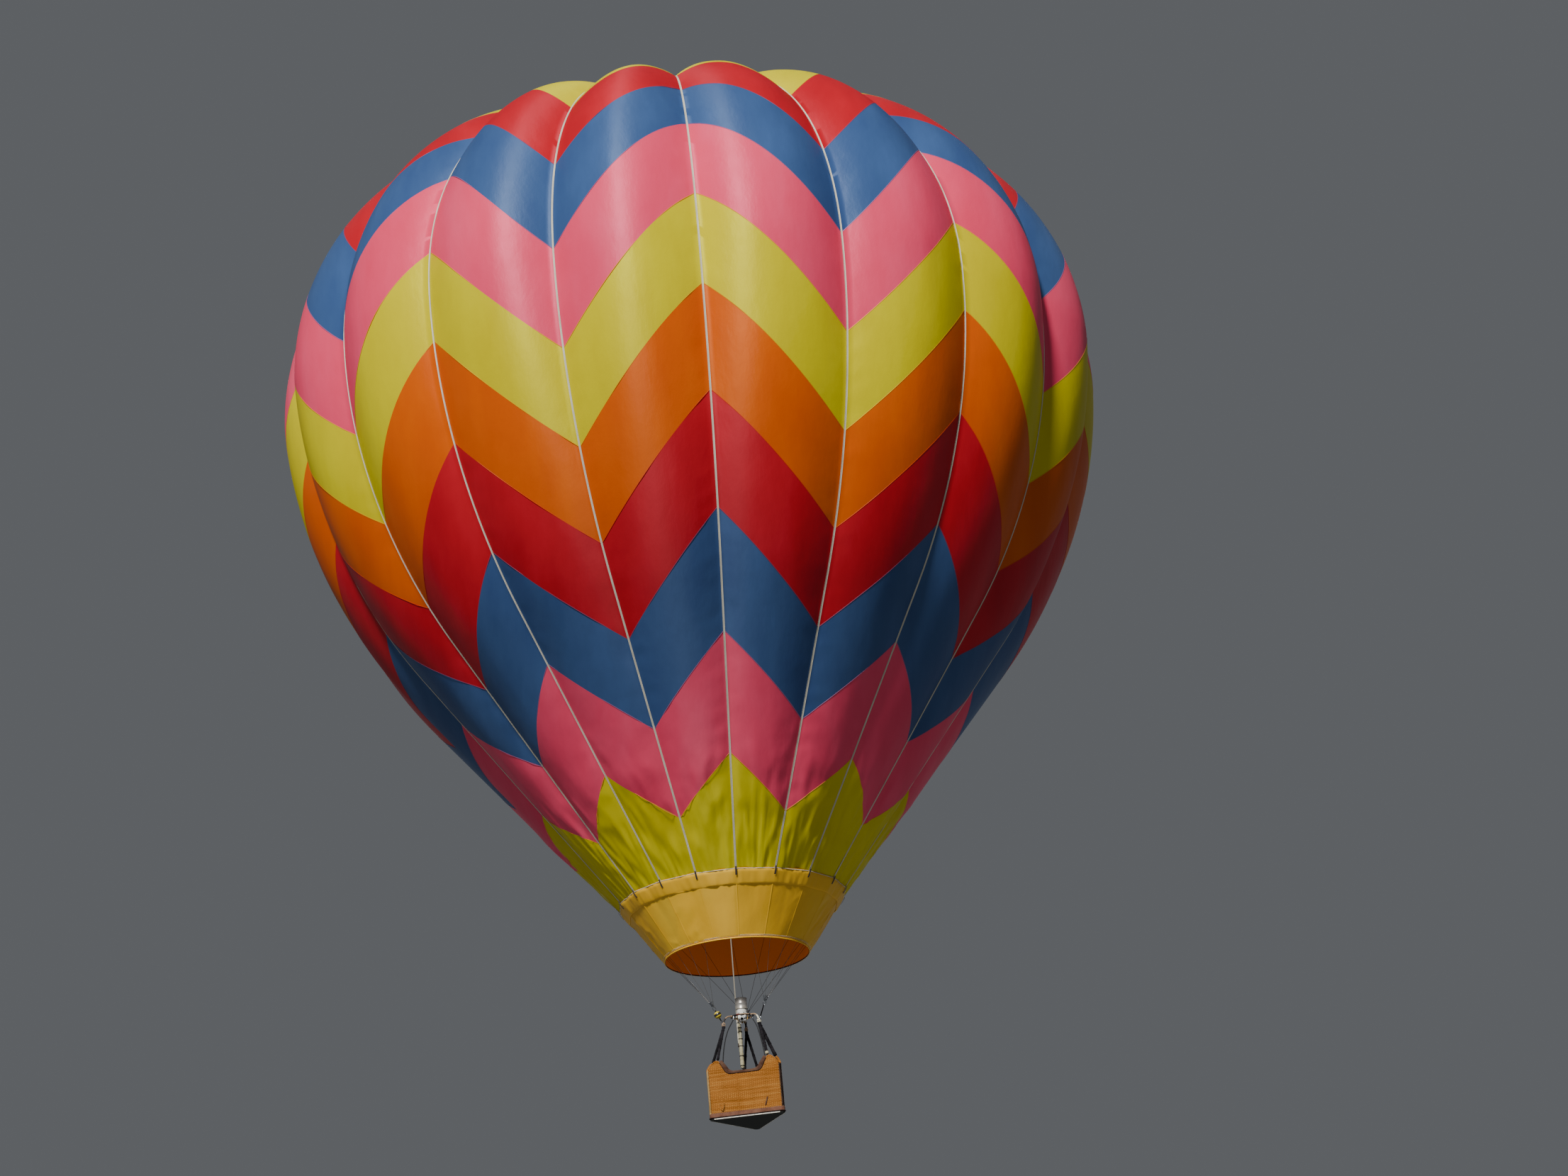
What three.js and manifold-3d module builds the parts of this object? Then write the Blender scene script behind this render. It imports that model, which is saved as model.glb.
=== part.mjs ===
// A hot air balloon: a lobed envelope of ten zigzag bands, its skirt, cables, burner and wicker basket.
// Millimetres, +Z up. The origin is the centre of lift, inside the envelope on its axis.
// Azimuths turn about +Z and start from -Y, the near side, towards +X, the right side.
import * as THREE from "three";
import { mergeVertices } from "three/addons/utils/BufferGeometryUtils.js";
import Module from "manifold-3d";

const wasm = await Module();
wasm.setup();
const radians = THREE.MathUtils.degToRad;

// Envelope, measured to the load tapes
const goreCount = 18;
const halfGore = Math.PI / goreCount;
const tapeRadius = 8200;
const equatorZ = 1300;
const crownRise = 6650;
const lowerArcRadius = 10000;
const coneAngle = radians(38);
const mouthZ = -9670;
const centralTapeAzimuth = radians(2.9);
const clothThickness = 10;
const seamGap = 1;
const lobeSegments = 4;
const ventRadius = 1900;

// How far the cloth stands out between two tapes, as a share of half the gore's width: height, share
const lobeFullness = [
  [8000, 0.42],
  [1300, 0.42],
  [-3000, 0.27],
  [-8000, 0.22],
  [mouthZ, 0],
];

// Load tapes and crown ring
const tapeWidth = 40;
const tapeDepth = 15;
const crownRingRadius = 150;
const crownRingTube = 14;

// Parachute vent, pressed up under the hole in the crown
const ventOverlap = 150;
const ventInset = 26;
const ventLineRadius = 6;
const shroudMeetZ = 5000;
const shroudEvery = 3;
const ventLineEnd = new THREE.Vector3(-165, 250, -12600);
const ventToggleRadius = 35;

// Skirt
const skirtBottomRadius = 1470;
const skirtBottomZ = -10850;
const skirtBandHeight = 280;
const skirtBandGap = 8;
const hemTube = 14;

// Basket: a triangle with round corners, its near side turned a little to the left
const nearSideAzimuth = radians(-8);
const floorZ = -14230;
const cornerReach = 915;
const cornerRadius = 60;
const wallThickness = 35;
const floorThickness = 30;
const edgeStripLength = 1320;
const edgeStripDepth = 14;
const scuffBandHeight = 90;
const scuffBandThickness = 8;
const rollWidth = 44;

// Top edge of one basket wall: distance from the middle of the side, height over the floor's underside
const wallTop = [
  [0, 900],
  [300, 905],
  [370, 950],
  [420, 1060],
  [470, 1160],
  [530, 1190],
  [600, 1160],
  [660, 1090],
];
const cornerTop = 985;
const hornDistance = 530;
const hornTop = 1190;

// Load frame and suspension, as heights over the floor's underside
const ringHeight = 2130;
const ringRadius = 215;
const ringTube = 13;
const armTube = 15;
const bracketReach = 420;
const bracketHeight = 1950;
const bracketSize = 64;
const cableMeetReach = 600;
const cableMeetHeight = 2340;
const cableRadius = 6;
const linkRadius = 16;
const cableTopLength = 200;
const coverRadius = 23;
const ballRadius = 60;
const ballPlace = 0.5;

// Burner and its gimbal
const gimbalRadius = 165;
const gimbalTube = 10;
const pivotPinRadius = 8;
const pinGap = 6;
const canRadius = 120;
const canWall = 5;
const canBottom = 2272;
const canTop = 2500;
const coilRadius = 80;
const coilTube = 9;
const coilTurns = 3;
const baseRadius = 105;
const baseBottom = 2150;
const baseTop = 2270;
const blockSize = new THREE.Vector3(160, 120, 128);
const blockBottom = 2020;
const pilotSize = new THREE.Vector3(30, 30, 46);
const pilotPlace = new THREE.Vector3(-40, -20, 1998);
const knobRadius = 28;
const knobLength = 24;

// Fuel cylinders and hoses
const cylinderRadius = 150;
const cylinderReach = 500;
const cylinderHeight = 860;
const collarRadius = 80;
const collarHeight = 90;
const hoseRadius = 11;
const hoseTurn = radians(14);
const hoseBend = 125;
const sideOutletHeight = 60;
const stubRadius = 16;
const stubBottom = 2096;

// The padded sleeve that hangs from the load frame's ring round the far cylinder's hose
const sleeveAzimuth = radians(200);
const sleeveClampSize = new THREE.Vector3(44, 44, 40);
const sleeveTop = 2086;
const sleeveBottom = 1120;
const sleeveTopRadius = 27;
const sleeveRadius = 41;
const sleeveTaperHeight = 1650;

const balloon = new THREE.Group();
balloon.name = "hot_air_balloon";

const finishes = {
  cloth: { roughness: 0.55, metalness: 0 },
  webbing: { roughness: 0.8, metalness: 0 },
  steel: { roughness: 0.3, metalness: 1 },
  paint: { roughness: 0.4, metalness: 0 },
  wicker: { roughness: 0.75, metalness: 0 },
  leather: { roughness: 0.6, metalness: 0 },
  rubber: { roughness: 0.8, metalness: 0 },
};

function addNode(name, geometry, colour, finish) {
  const material = new THREE.MeshStandardMaterial({ color: colour, ...finishes[finish] });
  const mesh = new THREE.Mesh(geometry, material);
  mesh.name = name;
  balloon.add(mesh);
  return mesh;
}

function polar(radius, azimuth, z) {
  return new THREE.Vector3(radius * Math.sin(azimuth), -radius * Math.cos(azimuth), z);
}

function overFloor(height) {
  return floorZ + height;
}

// A closed body through sections of equally many points: a ring, or a bar with flat ends.
function loft(sections, isRing) {
  const count = sections[0].length;
  const points = sections.flat();
  const index = [];
  const spans = isRing ? sections.length : sections.length - 1;
  for (let s = 0; s < spans; s++) {
    const here = s * count;
    const next = ((s + 1) % sections.length) * count;
    for (let i = 0; i < count; i++) {
      const j = (i + 1) % count;
      index.push(here + i, here + j, next + i);
      index.push(here + j, next + j, next + i);
    }
  }
  if (!isRing) {
    const last = (sections.length - 1) * count;
    for (let i = 1; i < count - 1; i++) {
      index.push(0, i + 1, i);
      index.push(last, last + i, last + i + 1);
    }
  }
  const geometry = new THREE.BufferGeometry().setFromPoints(points);
  geometry.setIndex(facingOut(points, index));
  geometry.computeVertexNormals();
  return geometry;
}

// Turns every triangle round when together they enclose a negative volume.
function facingOut(points, index) {
  let volume = 0;
  for (let i = 0; i < index.length; i += 3) {
    const [a, b, c] = [points[index[i]], points[index[i + 1]], points[index[i + 2]]];
    volume += a.dot(new THREE.Vector3().crossVectors(b, c));
  }
  return volume < 0 ? index.slice().reverse() : index;
}

function solidOf(geometry) {
  const bare = new THREE.BufferGeometry();
  bare.setAttribute("position", geometry.getAttribute("position"));
  bare.setIndex(geometry.index);
  const merged = mergeVertices(bare, 1e-3);
  const vertProperties = merged.attributes.position.array;
  const triVerts = new Uint32Array(merged.index.array);
  return new wasm.Manifold(new wasm.Mesh({ numProp: 3, vertProperties, triVerts }));
}

function geometryOf(solid) {
  const mesh = solid.getMesh();
  const geometry = new THREE.BufferGeometry();
  geometry.setAttribute("position", new THREE.BufferAttribute(mesh.vertProperties, 3));
  geometry.setIndex(new THREE.BufferAttribute(mesh.triVerts, 1));
  geometry.computeVertexNormals();
  return geometry;
}

function joined(geometries) {
  let solid = solidOf(geometries[0]);
  for (const geometry of geometries.slice(1)) {
    solid = solid.add(solidOf(geometry));
  }
  return geometryOf(solid);
}

function rod(from, to, radius, sides = 8) {
  const along = new THREE.Vector3().subVectors(to, from);
  const geometry = new THREE.CylinderGeometry(radius, radius, along.length(), sides);
  const up = new THREE.Vector3(0, 1, 0);
  geometry.applyQuaternion(new THREE.Quaternion().setFromUnitVectors(up, along.clone().normalize()));
  const middle = from.clone().lerp(to, 0.5);
  return geometry.translate(middle.x, middle.y, middle.z);
}

// A round bar along a smooth curve through the points.
function tube(points, radius, sides, steps) {
  const section = new THREE.Shape();
  for (let i = 0; i < sides; i++) {
    const angle = (2 * Math.PI * i) / sides;
    const [x, y] = [radius * Math.cos(angle), radius * Math.sin(angle)];
    if (i === 0) section.moveTo(x, y);
    else section.lineTo(x, y);
  }
  const path = new THREE.CatmullRomCurve3(points);
  return new THREE.ExtrudeGeometry(section, { steps, extrudePath: path, bevelEnabled: false });
}

// A box with its z axis upright, its x axis along the given azimuth's tangent and its y axis pointing in.
function uprightBox(size, azimuth, centre) {
  const geometry = new THREE.BoxGeometry(size.x, size.y, size.z);
  geometry.rotateZ(azimuth);
  return geometry.translate(centre.x, centre.y, centre.z);
}

function latheUp(profile, segments) {
  const points = profile.map(([radius, z]) => new THREE.Vector2(radius, z));
  return new THREE.LatheGeometry(points, segments).rotateX(Math.PI / 2);
}

// The meridian that a load tape follows, from the middle of the crown down to the mouth.
function makeMeridian() {
  const steps = 400;
  const outline = [];
  for (let i = 0; i <= steps; i++) {
    const angle = (i / steps) * (Math.PI / 2);
    outline.push([tapeRadius * Math.sin(angle), equatorZ + crownRise * Math.cos(angle)]);
  }
  for (let i = 1; i <= steps; i++) {
    const angle = (i / steps) * coneAngle;
    const r = tapeRadius - lowerArcRadius * (1 - Math.cos(angle));
    outline.push([r, equatorZ - lowerArcRadius * Math.sin(angle)]);
  }
  const [coneTopRadius, coneTopZ] = outline[outline.length - 1];
  outline.push([coneTopRadius - (coneTopZ - mouthZ) * Math.tan(coneAngle), mouthZ]);
  let length = 0;
  return outline.map(([r, z], i) => {
    if (i > 0) length += Math.hypot(r - outline[i - 1][0], z - outline[i - 1][1]);
    return { r, z, length };
  });
}

const meridian = makeMeridian();
const mouthLength = meridian[meridian.length - 1].length;
const mouthRadius = meridian[meridian.length - 1].r;

// Radius, height and outward normal of the meridian at a length from the crown.
function meridianAt(length) {
  let i = 1;
  while (i < meridian.length - 1 && meridian[i].length < length) i++;
  const [a, b] = [meridian[i - 1], meridian[i]];
  const share = (length - a.length) / (b.length - a.length);
  const span = b.length - a.length;
  return {
    r: a.r + share * (b.r - a.r),
    z: a.z + share * (b.z - a.z),
    outR: (a.z - b.z) / span,
    outZ: (b.r - a.r) / span,
  };
}

function lengthAtHeight(z) {
  const i = Math.max(1, meridian.findIndex((point) => point.z <= z));
  const [a, b] = [meridian[i - 1], meridian[i]];
  return a.length + ((a.z - z) / (a.z - b.z)) * (b.length - a.length);
}

function fullnessAt(z) {
  const i = Math.max(1, lobeFullness.findIndex(([height]) => height <= z));
  const [[highZ, highShare], [lowZ, lowShare]] = [lobeFullness[i - 1], lobeFullness[i]];
  return lowShare + ((z - lowZ) / (highZ - lowZ)) * (highShare - lowShare);
}

function tapeAzimuth(tape) {
  return centralTapeAzimuth + 2 * halfGore * tape;
}

// A point of the cloth between a tape, across = 0, and the next one, across = 1.
function clothPoint(tape, across, length, inset) {
  const m = meridianAt(length);
  if (across === 0) {
    return polar(m.r - inset * m.outR, tapeAzimuth(tape), m.z - inset * m.outZ);
  }
  const halfWidth = m.r * Math.sin(halfGore);
  const u = 2 * across - 1;
  const out = fullnessAt(m.z) * halfWidth * (1 - u * u) - inset;
  const middle = tapeAzimuth(tape) + halfGore;
  const point = polar(m.r * Math.cos(halfGore) + out * m.outR, middle, m.z + out * m.outZ);
  point.x += halfWidth * u * Math.cos(middle);
  point.y += halfWidth * u * Math.sin(middle);
  return point;
}

const ventEdgeZ = equatorZ + crownRise * Math.sqrt(1 - (ventRadius / tapeRadius) ** 2);

// The bands from the top down: name, colour, rows, then the top edge's height at even and at odd tapes
const bands = [
  { name: "band_01_yellow", colour: 0xe1d22d, rows: 3, even: ventEdgeZ, odd: ventEdgeZ },
  { name: "band_02_red", colour: 0xbe1e23, rows: 2, even: 6630, odd: 5370 },
  { name: "band_03_blue", colour: 0x375f91, rows: 2, even: 5490, odd: 3460 },
  { name: "band_04_pink", colour: 0xdc7882, rows: 2, even: 4140, odd: 1410 },
  { name: "band_05_yellow", colour: 0xe1d22d, rows: 2, even: 2240, odd: -630 },
  { name: "band_06_orange", colour: 0xe16e23, rows: 2, even: 290, odd: -2490 },
  { name: "band_07_red", colour: 0xbe1e23, rows: 2, even: -1760, odd: -4170 },
  { name: "band_08_blue", colour: 0x375f91, rows: 1, even: -3810, odd: -5760 },
  { name: "band_09_pink", colour: 0xdc7882, rows: 1, even: -5800, odd: -7250 },
  { name: "band_10_yellow", colour: 0xe1d22d, rows: 1, even: -7770, odd: -8750 },
];
const mouthEdge = { even: mouthZ, odd: mouthZ };

function edgeLength(edge, tape) {
  const atEven = tape % 2 === 0;
  return lengthAtHeight(atEven ? edge.even : edge.odd);
}

// The lengths along the meridian of a band's rows, at a place across the gore after the tape.
function rowLengths(band, nextEdge, tape, across) {
  const mixed = (edge) => {
    const here = edgeLength(edge, tape);
    return here + across * (edgeLength(edge, tape + 1) - here);
  };
  const top = mixed(band) + seamGap / 2;
  const bottom = mixed(nextEdge) - seamGap / 2;
  const lengths = [];
  for (let row = 0; row <= band.rows; row++) {
    lengths.push(top + (row / band.rows) * (bottom - top));
  }
  return lengths;
}

function bandRing(band, nextEdge) {
  const sections = [];
  for (let tape = 0; tape < goreCount; tape++) {
    for (let step = 0; step < lobeSegments; step++) {
      const across = step / lobeSegments;
      const lengths = rowLengths(band, nextEdge, tape, across);
      const outside = lengths.map((length) => clothPoint(tape, across, length, 0));
      const inside = lengths.map((length) => clothPoint(tape, across, length, clothThickness));
      sections.push([...outside, ...inside.reverse()]);
    }
  }
  return loft(sections, true);
}

bands.forEach((band, i) => {
  const nextEdge = bands[i + 1] ?? mouthEdge;
  addNode(band.name, bandRing(band, nextEdge), band.colour, "cloth");
});

// Load tapes: a wedge lies in each crease, from the crown ring to the mouth
function tapeWedge(tape) {
  const lengths = [];
  const ringLength = crownRingRadius;
  const ventEdge = lengthAtHeight(ventEdgeZ);
  for (const share of [0, 0.5]) {
    lengths.push(ringLength + share * (ventEdge - ringLength));
  }
  bands.forEach((band, i) => {
    const rows = rowLengths(band, bands[i + 1] ?? mouthEdge, tape, 0);
    lengths.push(...rows.slice(0, -1));
  });
  lengths.push(mouthLength - seamGap / 2);
  const azimuth = tapeAzimuth(tape);
  const sideways = new THREE.Vector3(Math.cos(azimuth), Math.sin(azimuth), 0);
  const sections = lengths.map((length) => {
    const m = meridianAt(length);
    const outer = seamGap + tapeDepth;
    const middle = polar(m.r + outer * m.outR, azimuth, m.z + outer * m.outZ);
    return [
      polar(m.r + seamGap * m.outR, azimuth, m.z + seamGap * m.outZ),
      middle.clone().addScaledVector(sideways, tapeWidth / 2),
      middle.clone().addScaledVector(sideways, -tapeWidth / 2),
    ];
  });
  return loft(sections, false);
}

const crownRing = new THREE.TorusGeometry(crownRingRadius, crownRingTube, 6, goreCount);
crownRing.translate(0, 0, equatorZ + crownRise + seamGap + tapeDepth / 2);
const tapes = Array.from({ length: goreCount }, (_, tape) => tapeWedge(tape));
addNode("load_tapes", joined([crownRing, ...tapes]), 0xe8e2cc, "webbing");

// Parachute vent: a shallow dome, then its shroud lines and the line down to the basket
function ventDome() {
  const reach = lengthAtHeight(ventEdgeZ) + ventOverlap;
  const rings = 4;
  const profile = [];
  for (let i = 0; i <= rings; i++) {
    const m = meridianAt(Math.max((i / rings) * reach, 1));
    profile.push([i === 0 ? 0 : m.r - ventInset * m.outR, m.z - ventInset * m.outZ]);
  }
  const under = profile.map(([radius, z]) => [radius, z - clothThickness]);
  const dome = latheUp([...under, ...profile.reverse()], goreCount);
  return dome.rotateZ(centralTapeAzimuth);
}

addNode("parachute_vent", ventDome(), 0xe1d22d, "cloth");

function ventLines() {
  const meeting = new THREE.Vector3(0, 0, shroudMeetZ);
  const reach = lengthAtHeight(ventEdgeZ) + ventOverlap - 60;
  const m = meridianAt(reach);
  const pieces = [rod(meeting, ventLineEnd, ventLineRadius, 6)];
  for (let tape = 0; tape < goreCount; tape += shroudEvery) {
    const top = polar(m.r, tapeAzimuth(tape), m.z - ventInset - clothThickness - 22);
    pieces.push(rod(meeting, top, ventLineRadius, 6));
  }
  pieces.push(new THREE.SphereGeometry(ventToggleRadius, 8, 6).translate(...meeting.toArray()));
  pieces.push(new THREE.SphereGeometry(ventToggleRadius, 8, 6).translate(...ventLineEnd.toArray()));
  return joined(pieces);
}

addNode("vent_lines", ventLines(), 0xe6e1d2, "webbing");

// Skirt: a plain cone of cloth under the mouth, its folded top band and the hoop in its hem
function skirtRing(topShare, bottomShare, offset) {
  const sides = 2 * goreCount;
  const sections = [];
  for (let i = 0; i < sides; i++) {
    const azimuth = centralTapeAzimuth + i * halfGore;
    const topRadius = i % 2 === 0 ? mouthRadius : mouthRadius * Math.cos(halfGore);
    const ringAt = (share, out) => {
      const radius = topRadius + share * (skirtBottomRadius - topRadius);
      return polar(radius + out, azimuth, mouthZ - seamGap + share * (skirtBottomZ - mouthZ));
    };
    sections.push([
      ringAt(topShare, offset),
      ringAt(bottomShare, offset),
      ringAt(bottomShare, offset - clothThickness),
      ringAt(topShare, offset - clothThickness),
    ]);
  }
  return loft(sections, true);
}

const skirtHeight = mouthZ - skirtBottomZ;
addNode("skirt", skirtRing(0, 1, 0), 0xc89b37, "cloth");
const bandShare = skirtBandHeight / skirtHeight;
addNode("skirt_top_band", skirtRing(0.015, bandShare, clothThickness + skirtBandGap), 0xc89b37, "cloth");
const hem = new THREE.TorusGeometry(skirtBottomRadius - clothThickness / 2, hemTube, 5, 2 * goreCount);
hem.rotateZ(centralTapeAzimuth - Math.PI / 2);
addNode("skirt_hem", hem.translate(0, 0, skirtBottomZ - hemTube - 3), 0xd9b45a, "cloth");

// Basket corners and sides, each with its azimuth; side i lies between corner i - 1 and corner i
const corners = ["right", "far", "left"].map((name, i) => ({
  name,
  azimuth: nearSideAzimuth + radians(60 + 120 * i),
}));
const sides = ["near", "right", "left"].map((name, i) => ({
  name,
  azimuth: nearSideAzimuth + radians(120 * i),
}));
const halfSide = cornerReach * Math.sin(radians(60));
const sideDistance = cornerReach / 2;
const straightHalf = halfSide - cornerRadius / Math.tan(radians(30));

// A point on a side: its distance from the side's middle, on round the corner, and in from the outer face.
function sidePoint(side, along, inset, z) {
  const outward = polar(1, side.azimuth, 0);
  const forward = new THREE.Vector3(Math.cos(side.azimuth), Math.sin(side.azimuth), 0);
  const straight = Math.min(Math.abs(along), straightHalf);
  const angle = (Math.abs(along) - straight) / cornerRadius;
  const radius = cornerRadius - inset;
  const out = sideDistance - cornerRadius + radius * Math.cos(angle);
  const forwards = Math.sign(along) * (straight + radius * Math.sin(angle));
  return new THREE.Vector3(0, 0, z).addScaledVector(outward, out).addScaledVector(forward, forwards);
}

const cornerArc = cornerRadius * radians(60);

// Stations along a side from one corner's middle to the next one's, with the wall's height at each.
function wallStations() {
  const right = [...wallTop, [straightHalf, cornerTop + 60]];
  right.push([straightHalf + cornerArc / 2, cornerTop + 15]);
  right.push([straightHalf + cornerArc - seamGap / 2, cornerTop]);
  const left = right.slice(1).map(([along, height]) => [-along, height]).reverse();
  return [...left, ...right];
}

const stations = wallStations();
const wallBottomZ = overFloor(floorThickness) + 0.5;

function basketWall(side) {
  const sections = stations.map(([along, height]) => [
    sidePoint(side, along, 0, wallBottomZ),
    sidePoint(side, along, 0, overFloor(height)),
    sidePoint(side, along, wallThickness, overFloor(height)),
    sidePoint(side, along, wallThickness, wallBottomZ),
  ]);
  return loft(sections, false);
}

// The bound roll on a wall's top edge: how far in from the middle of the wall, height over the edge
const rollSection = [
  [-22, 16],
  [0, 10],
  [22, 16],
  [22, 34],
  [0, rollWidth],
  [-22, 34],
];

function topRoll(side) {
  const sections = stations.map(([along, height]) =>
    rollSection.map(([inwards, up]) =>
      sidePoint(side, along, wallThickness / 2 + inwards, overFloor(height + up)),
    ),
  );
  return loft(sections, false);
}

for (const side of sides) {
  addNode(`basket_wall_${side.name}`, basketWall(side), 0xa56e32, "wicker");
  addNode(`top_roll_${side.name}`, topRoll(side), 0x3c281e, "leather");
}

// The triangle's outline with round corners, at an inset from the walls' outer face.
function basketOutline(inset) {
  const outline = new THREE.Shape();
  for (const side of sides) {
    const arcSteps = 4;
    for (let i = -arcSteps; i <= arcSteps; i++) {
      const reach = straightHalf + (cornerArc * (Math.abs(i) - 1)) / (arcSteps - 1);
      const along = i === 0 ? 0 : Math.sign(i) * Math.min(reach, straightHalf + cornerArc);
      const point = sidePoint(side, along, inset, 0);
      if (outline.curves.length === 0 && i === -arcSteps && side === sides[0]) {
        outline.moveTo(point.x, point.y);
      } else if (i !== 0 && i !== -arcSteps) {
        outline.lineTo(point.x, point.y);
      }
    }
  }
  return outline;
}

const floor = new THREE.ExtrudeGeometry(basketOutline(0), { depth: floorThickness, bevelEnabled: false });
addNode("basket_floor", floor.translate(0, 0, floorZ), 0x23281e, "paint");

for (const side of sides) {
  const strip = new THREE.BoxGeometry(edgeStripLength, edgeStripDepth, floorThickness);
  strip.translate(0, -(sideDistance + edgeStripDepth / 2 + 0.5), floorZ + floorThickness / 2);
  addNode(`floor_edge_${side.name}`, strip.rotateZ(side.azimuth), 0xe6e1d2, "paint");
}

function scuffBand() {
  const sections = [];
  const low = wallBottomZ + 4;
  const bends = stations.filter(([along]) => Math.abs(along) >= straightHalf);
  for (const side of sides) {
    for (const [along] of bends) {
      const [inner, outer] = [-0.5, -0.5 - scuffBandThickness];
      sections.push([
        sidePoint(side, along, outer, low),
        sidePoint(side, along, outer, low + scuffBandHeight),
        sidePoint(side, along, inner, low + scuffBandHeight),
        sidePoint(side, along, inner, low),
      ]);
    }
  }
  return loft(sections, true);
}

addNode("scuff_band", scuffBand(), 0x6e4b41, "leather");

// Load frame: a ring round the burner, and at each corner an arm that ends in a bracket
function loadFrame() {
  const ring = new THREE.TorusGeometry(ringRadius, ringTube, 6, 18).translate(0, 0, overFloor(ringHeight));
  const pieces = [ring];
  // Along an arm: reach from the axis, height over the floor
  const armRoute = [
    [ringRadius, ringHeight],
    [320, ringHeight - 15],
    [390, ringHeight - 80],
    [bracketReach, bracketHeight],
  ];
  for (const corner of corners) {
    const points = armRoute.map(([reach, height]) => polar(reach, corner.azimuth, overFloor(height)));
    pieces.push(tube(points, armTube, 6, 6));
    const centre = polar(bracketReach, corner.azimuth, overFloor(bracketHeight));
    const size = new THREE.Vector3(bracketSize, bracketSize, bracketSize);
    pieces.push(uprightBox(size, corner.azimuth, centre));
    if (corner.name === "far") continue;
    const stubTop = polar(ringRadius, corner.azimuth + hoseTurn, overFloor(ringHeight));
    pieces.push(rod(stubTop.clone().setZ(overFloor(stubBottom)), stubTop, stubRadius, 10));
  }
  const clampMiddle = overFloor(sleeveTop + 1 + sleeveClampSize.z / 2);
  pieces.push(uprightBox(sleeveClampSize, sleeveAzimuth, polar(ringRadius, sleeveAzimuth, clampMiddle)));
  return joined(pieces);
}

addNode("load_frame", loadFrame(), 0xb98c6e, "paint");

function linkEnds(corner) {
  const low = polar(bracketReach + 20, corner.azimuth, overFloor(bracketHeight + bracketSize / 2) + 8);
  const high = polar(cableMeetReach, corner.azimuth, overFloor(cableMeetHeight));
  return [low, high];
}

// Suspension: six cables from the ends of the tapes meet over each corner, in a link down to the bracket
function suspension(corner) {
  const [low, high] = linkEnds(corner);
  const pieces = [rod(low, high, linkRadius, 8)];
  pieces.push(new THREE.SphereGeometry(linkRadius * 1.7, 10, 6).translate(...high.toArray()));
  for (let tape = 0; tape < goreCount; tape++) {
    const turn = THREE.MathUtils.euclideanModulo(tapeAzimuth(tape) - corner.azimuth + Math.PI, 2 * Math.PI);
    if (Math.abs(turn - Math.PI) > Math.PI / 3) continue;
    const inset = clothThickness + cableRadius + 4;
    const top = clothPoint(tape, 0, mouthLength - cableTopLength, inset);
    pieces.push(rod(high, top, cableRadius, 6));
  }
  return joined(pieces);
}

// Uprights in padded covers: a pair at each corner, from the horns of its two walls to its bracket
function coverPair(corner, i) {
  const topZ = overFloor(bracketHeight - bracketSize / 2) - 1;
  const cap = polar(bracketReach, corner.azimuth, topZ - coverRadius);
  const pieces = [uprightBox(new THREE.Vector3(60, 60, 2 * coverRadius), corner.azimuth, cap)];
  const feet = [
    [sides[i], hornDistance],
    [sides[(i + 1) % sides.length], -hornDistance],
  ];
  for (const [side, along] of feet) {
    const foot = sidePoint(side, along, wallThickness / 2, overFloor(hornTop + rollWidth) + 10);
    pieces.push(rod(foot, cap, coverRadius, 8));
  }
  return joined(pieces);
}

corners.forEach((corner, i) => {
  addNode(`suspension_${corner.name}`, suspension(corner), 0x4b4b50, "steel");
  addNode(`upright_covers_${corner.name}`, coverPair(corner, i), 0x19191c, "leather");
});

// The striped ball on the left link, bored so that the link passes through it
function markerBall() {
  const [low, high] = linkEnds(corners[2]);
  const centre = low.clone().lerp(high, ballPlace);
  const ball = new THREE.SphereGeometry(ballRadius, 12, 8).translate(...centre.toArray());
  return geometryOf(solidOf(ball).subtract(solidOf(rod(low, high, linkRadius + 1, 8))));
}

addNode("marker_ball", markerBall(), 0xdcc832, "paint");

// Burner, built on the gimbal's pivot with its pins along the basket's near side and across it
const burner = new THREE.Group();
burner.position.set(0, 0, floorZ);
burner.rotation.z = nearSideAzimuth;
balloon.add(burner);

function addBurnerNode(name, geometry, colour, finish) {
  burner.add(addNode(name, geometry, colour, finish));
}

const pinSpan = (half) => [new THREE.Vector3(-half, 0, ringHeight), new THREE.Vector3(half, 0, ringHeight)];

function gimbalRing() {
  const ring = new THREE.TorusGeometry(gimbalRadius, gimbalTube, 6, 18).translate(0, 0, ringHeight);
  const outerEnd = ringRadius - ringTube - pinGap;
  const pins = [-1, 1].map((sign) => {
    const from = new THREE.Vector3(sign * gimbalRadius, 0, ringHeight);
    return rod(from, new THREE.Vector3(sign * outerEnd, 0, ringHeight), pivotPinRadius);
  });
  return joined([ring, ...pins]);
}

addBurnerNode("gimbal_ring", gimbalRing(), 0x32302d, "steel");

function valveBlock() {
  const block = new THREE.BoxGeometry(blockSize.x, blockSize.y, blockSize.z);
  block.translate(0, 0, blockBottom + blockSize.z / 2);
  const pilotValve = new THREE.BoxGeometry(pilotSize.x, pilotSize.y, pilotSize.z);
  pilotValve.translate(pilotPlace.x, pilotPlace.y, pilotPlace.z);
  const [from, to] = pinSpan(gimbalRadius - gimbalTube - pinGap);
  const pins = rod(from, to, pivotPinRadius).rotateZ(Math.PI / 2);
  return joined([block, pilotValve, pins]);
}

addBurnerNode("valve_block", valveBlock(), 0xe6e4dc, "paint");
const base = new THREE.CylinderGeometry(baseRadius, baseRadius * 0.9, baseTop - baseBottom, 20);
base.rotateX(Math.PI / 2).translate(0, 0, (baseTop + baseBottom) / 2);
addBurnerNode("burner_base", base, 0xe6e4dc, "paint");

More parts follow.
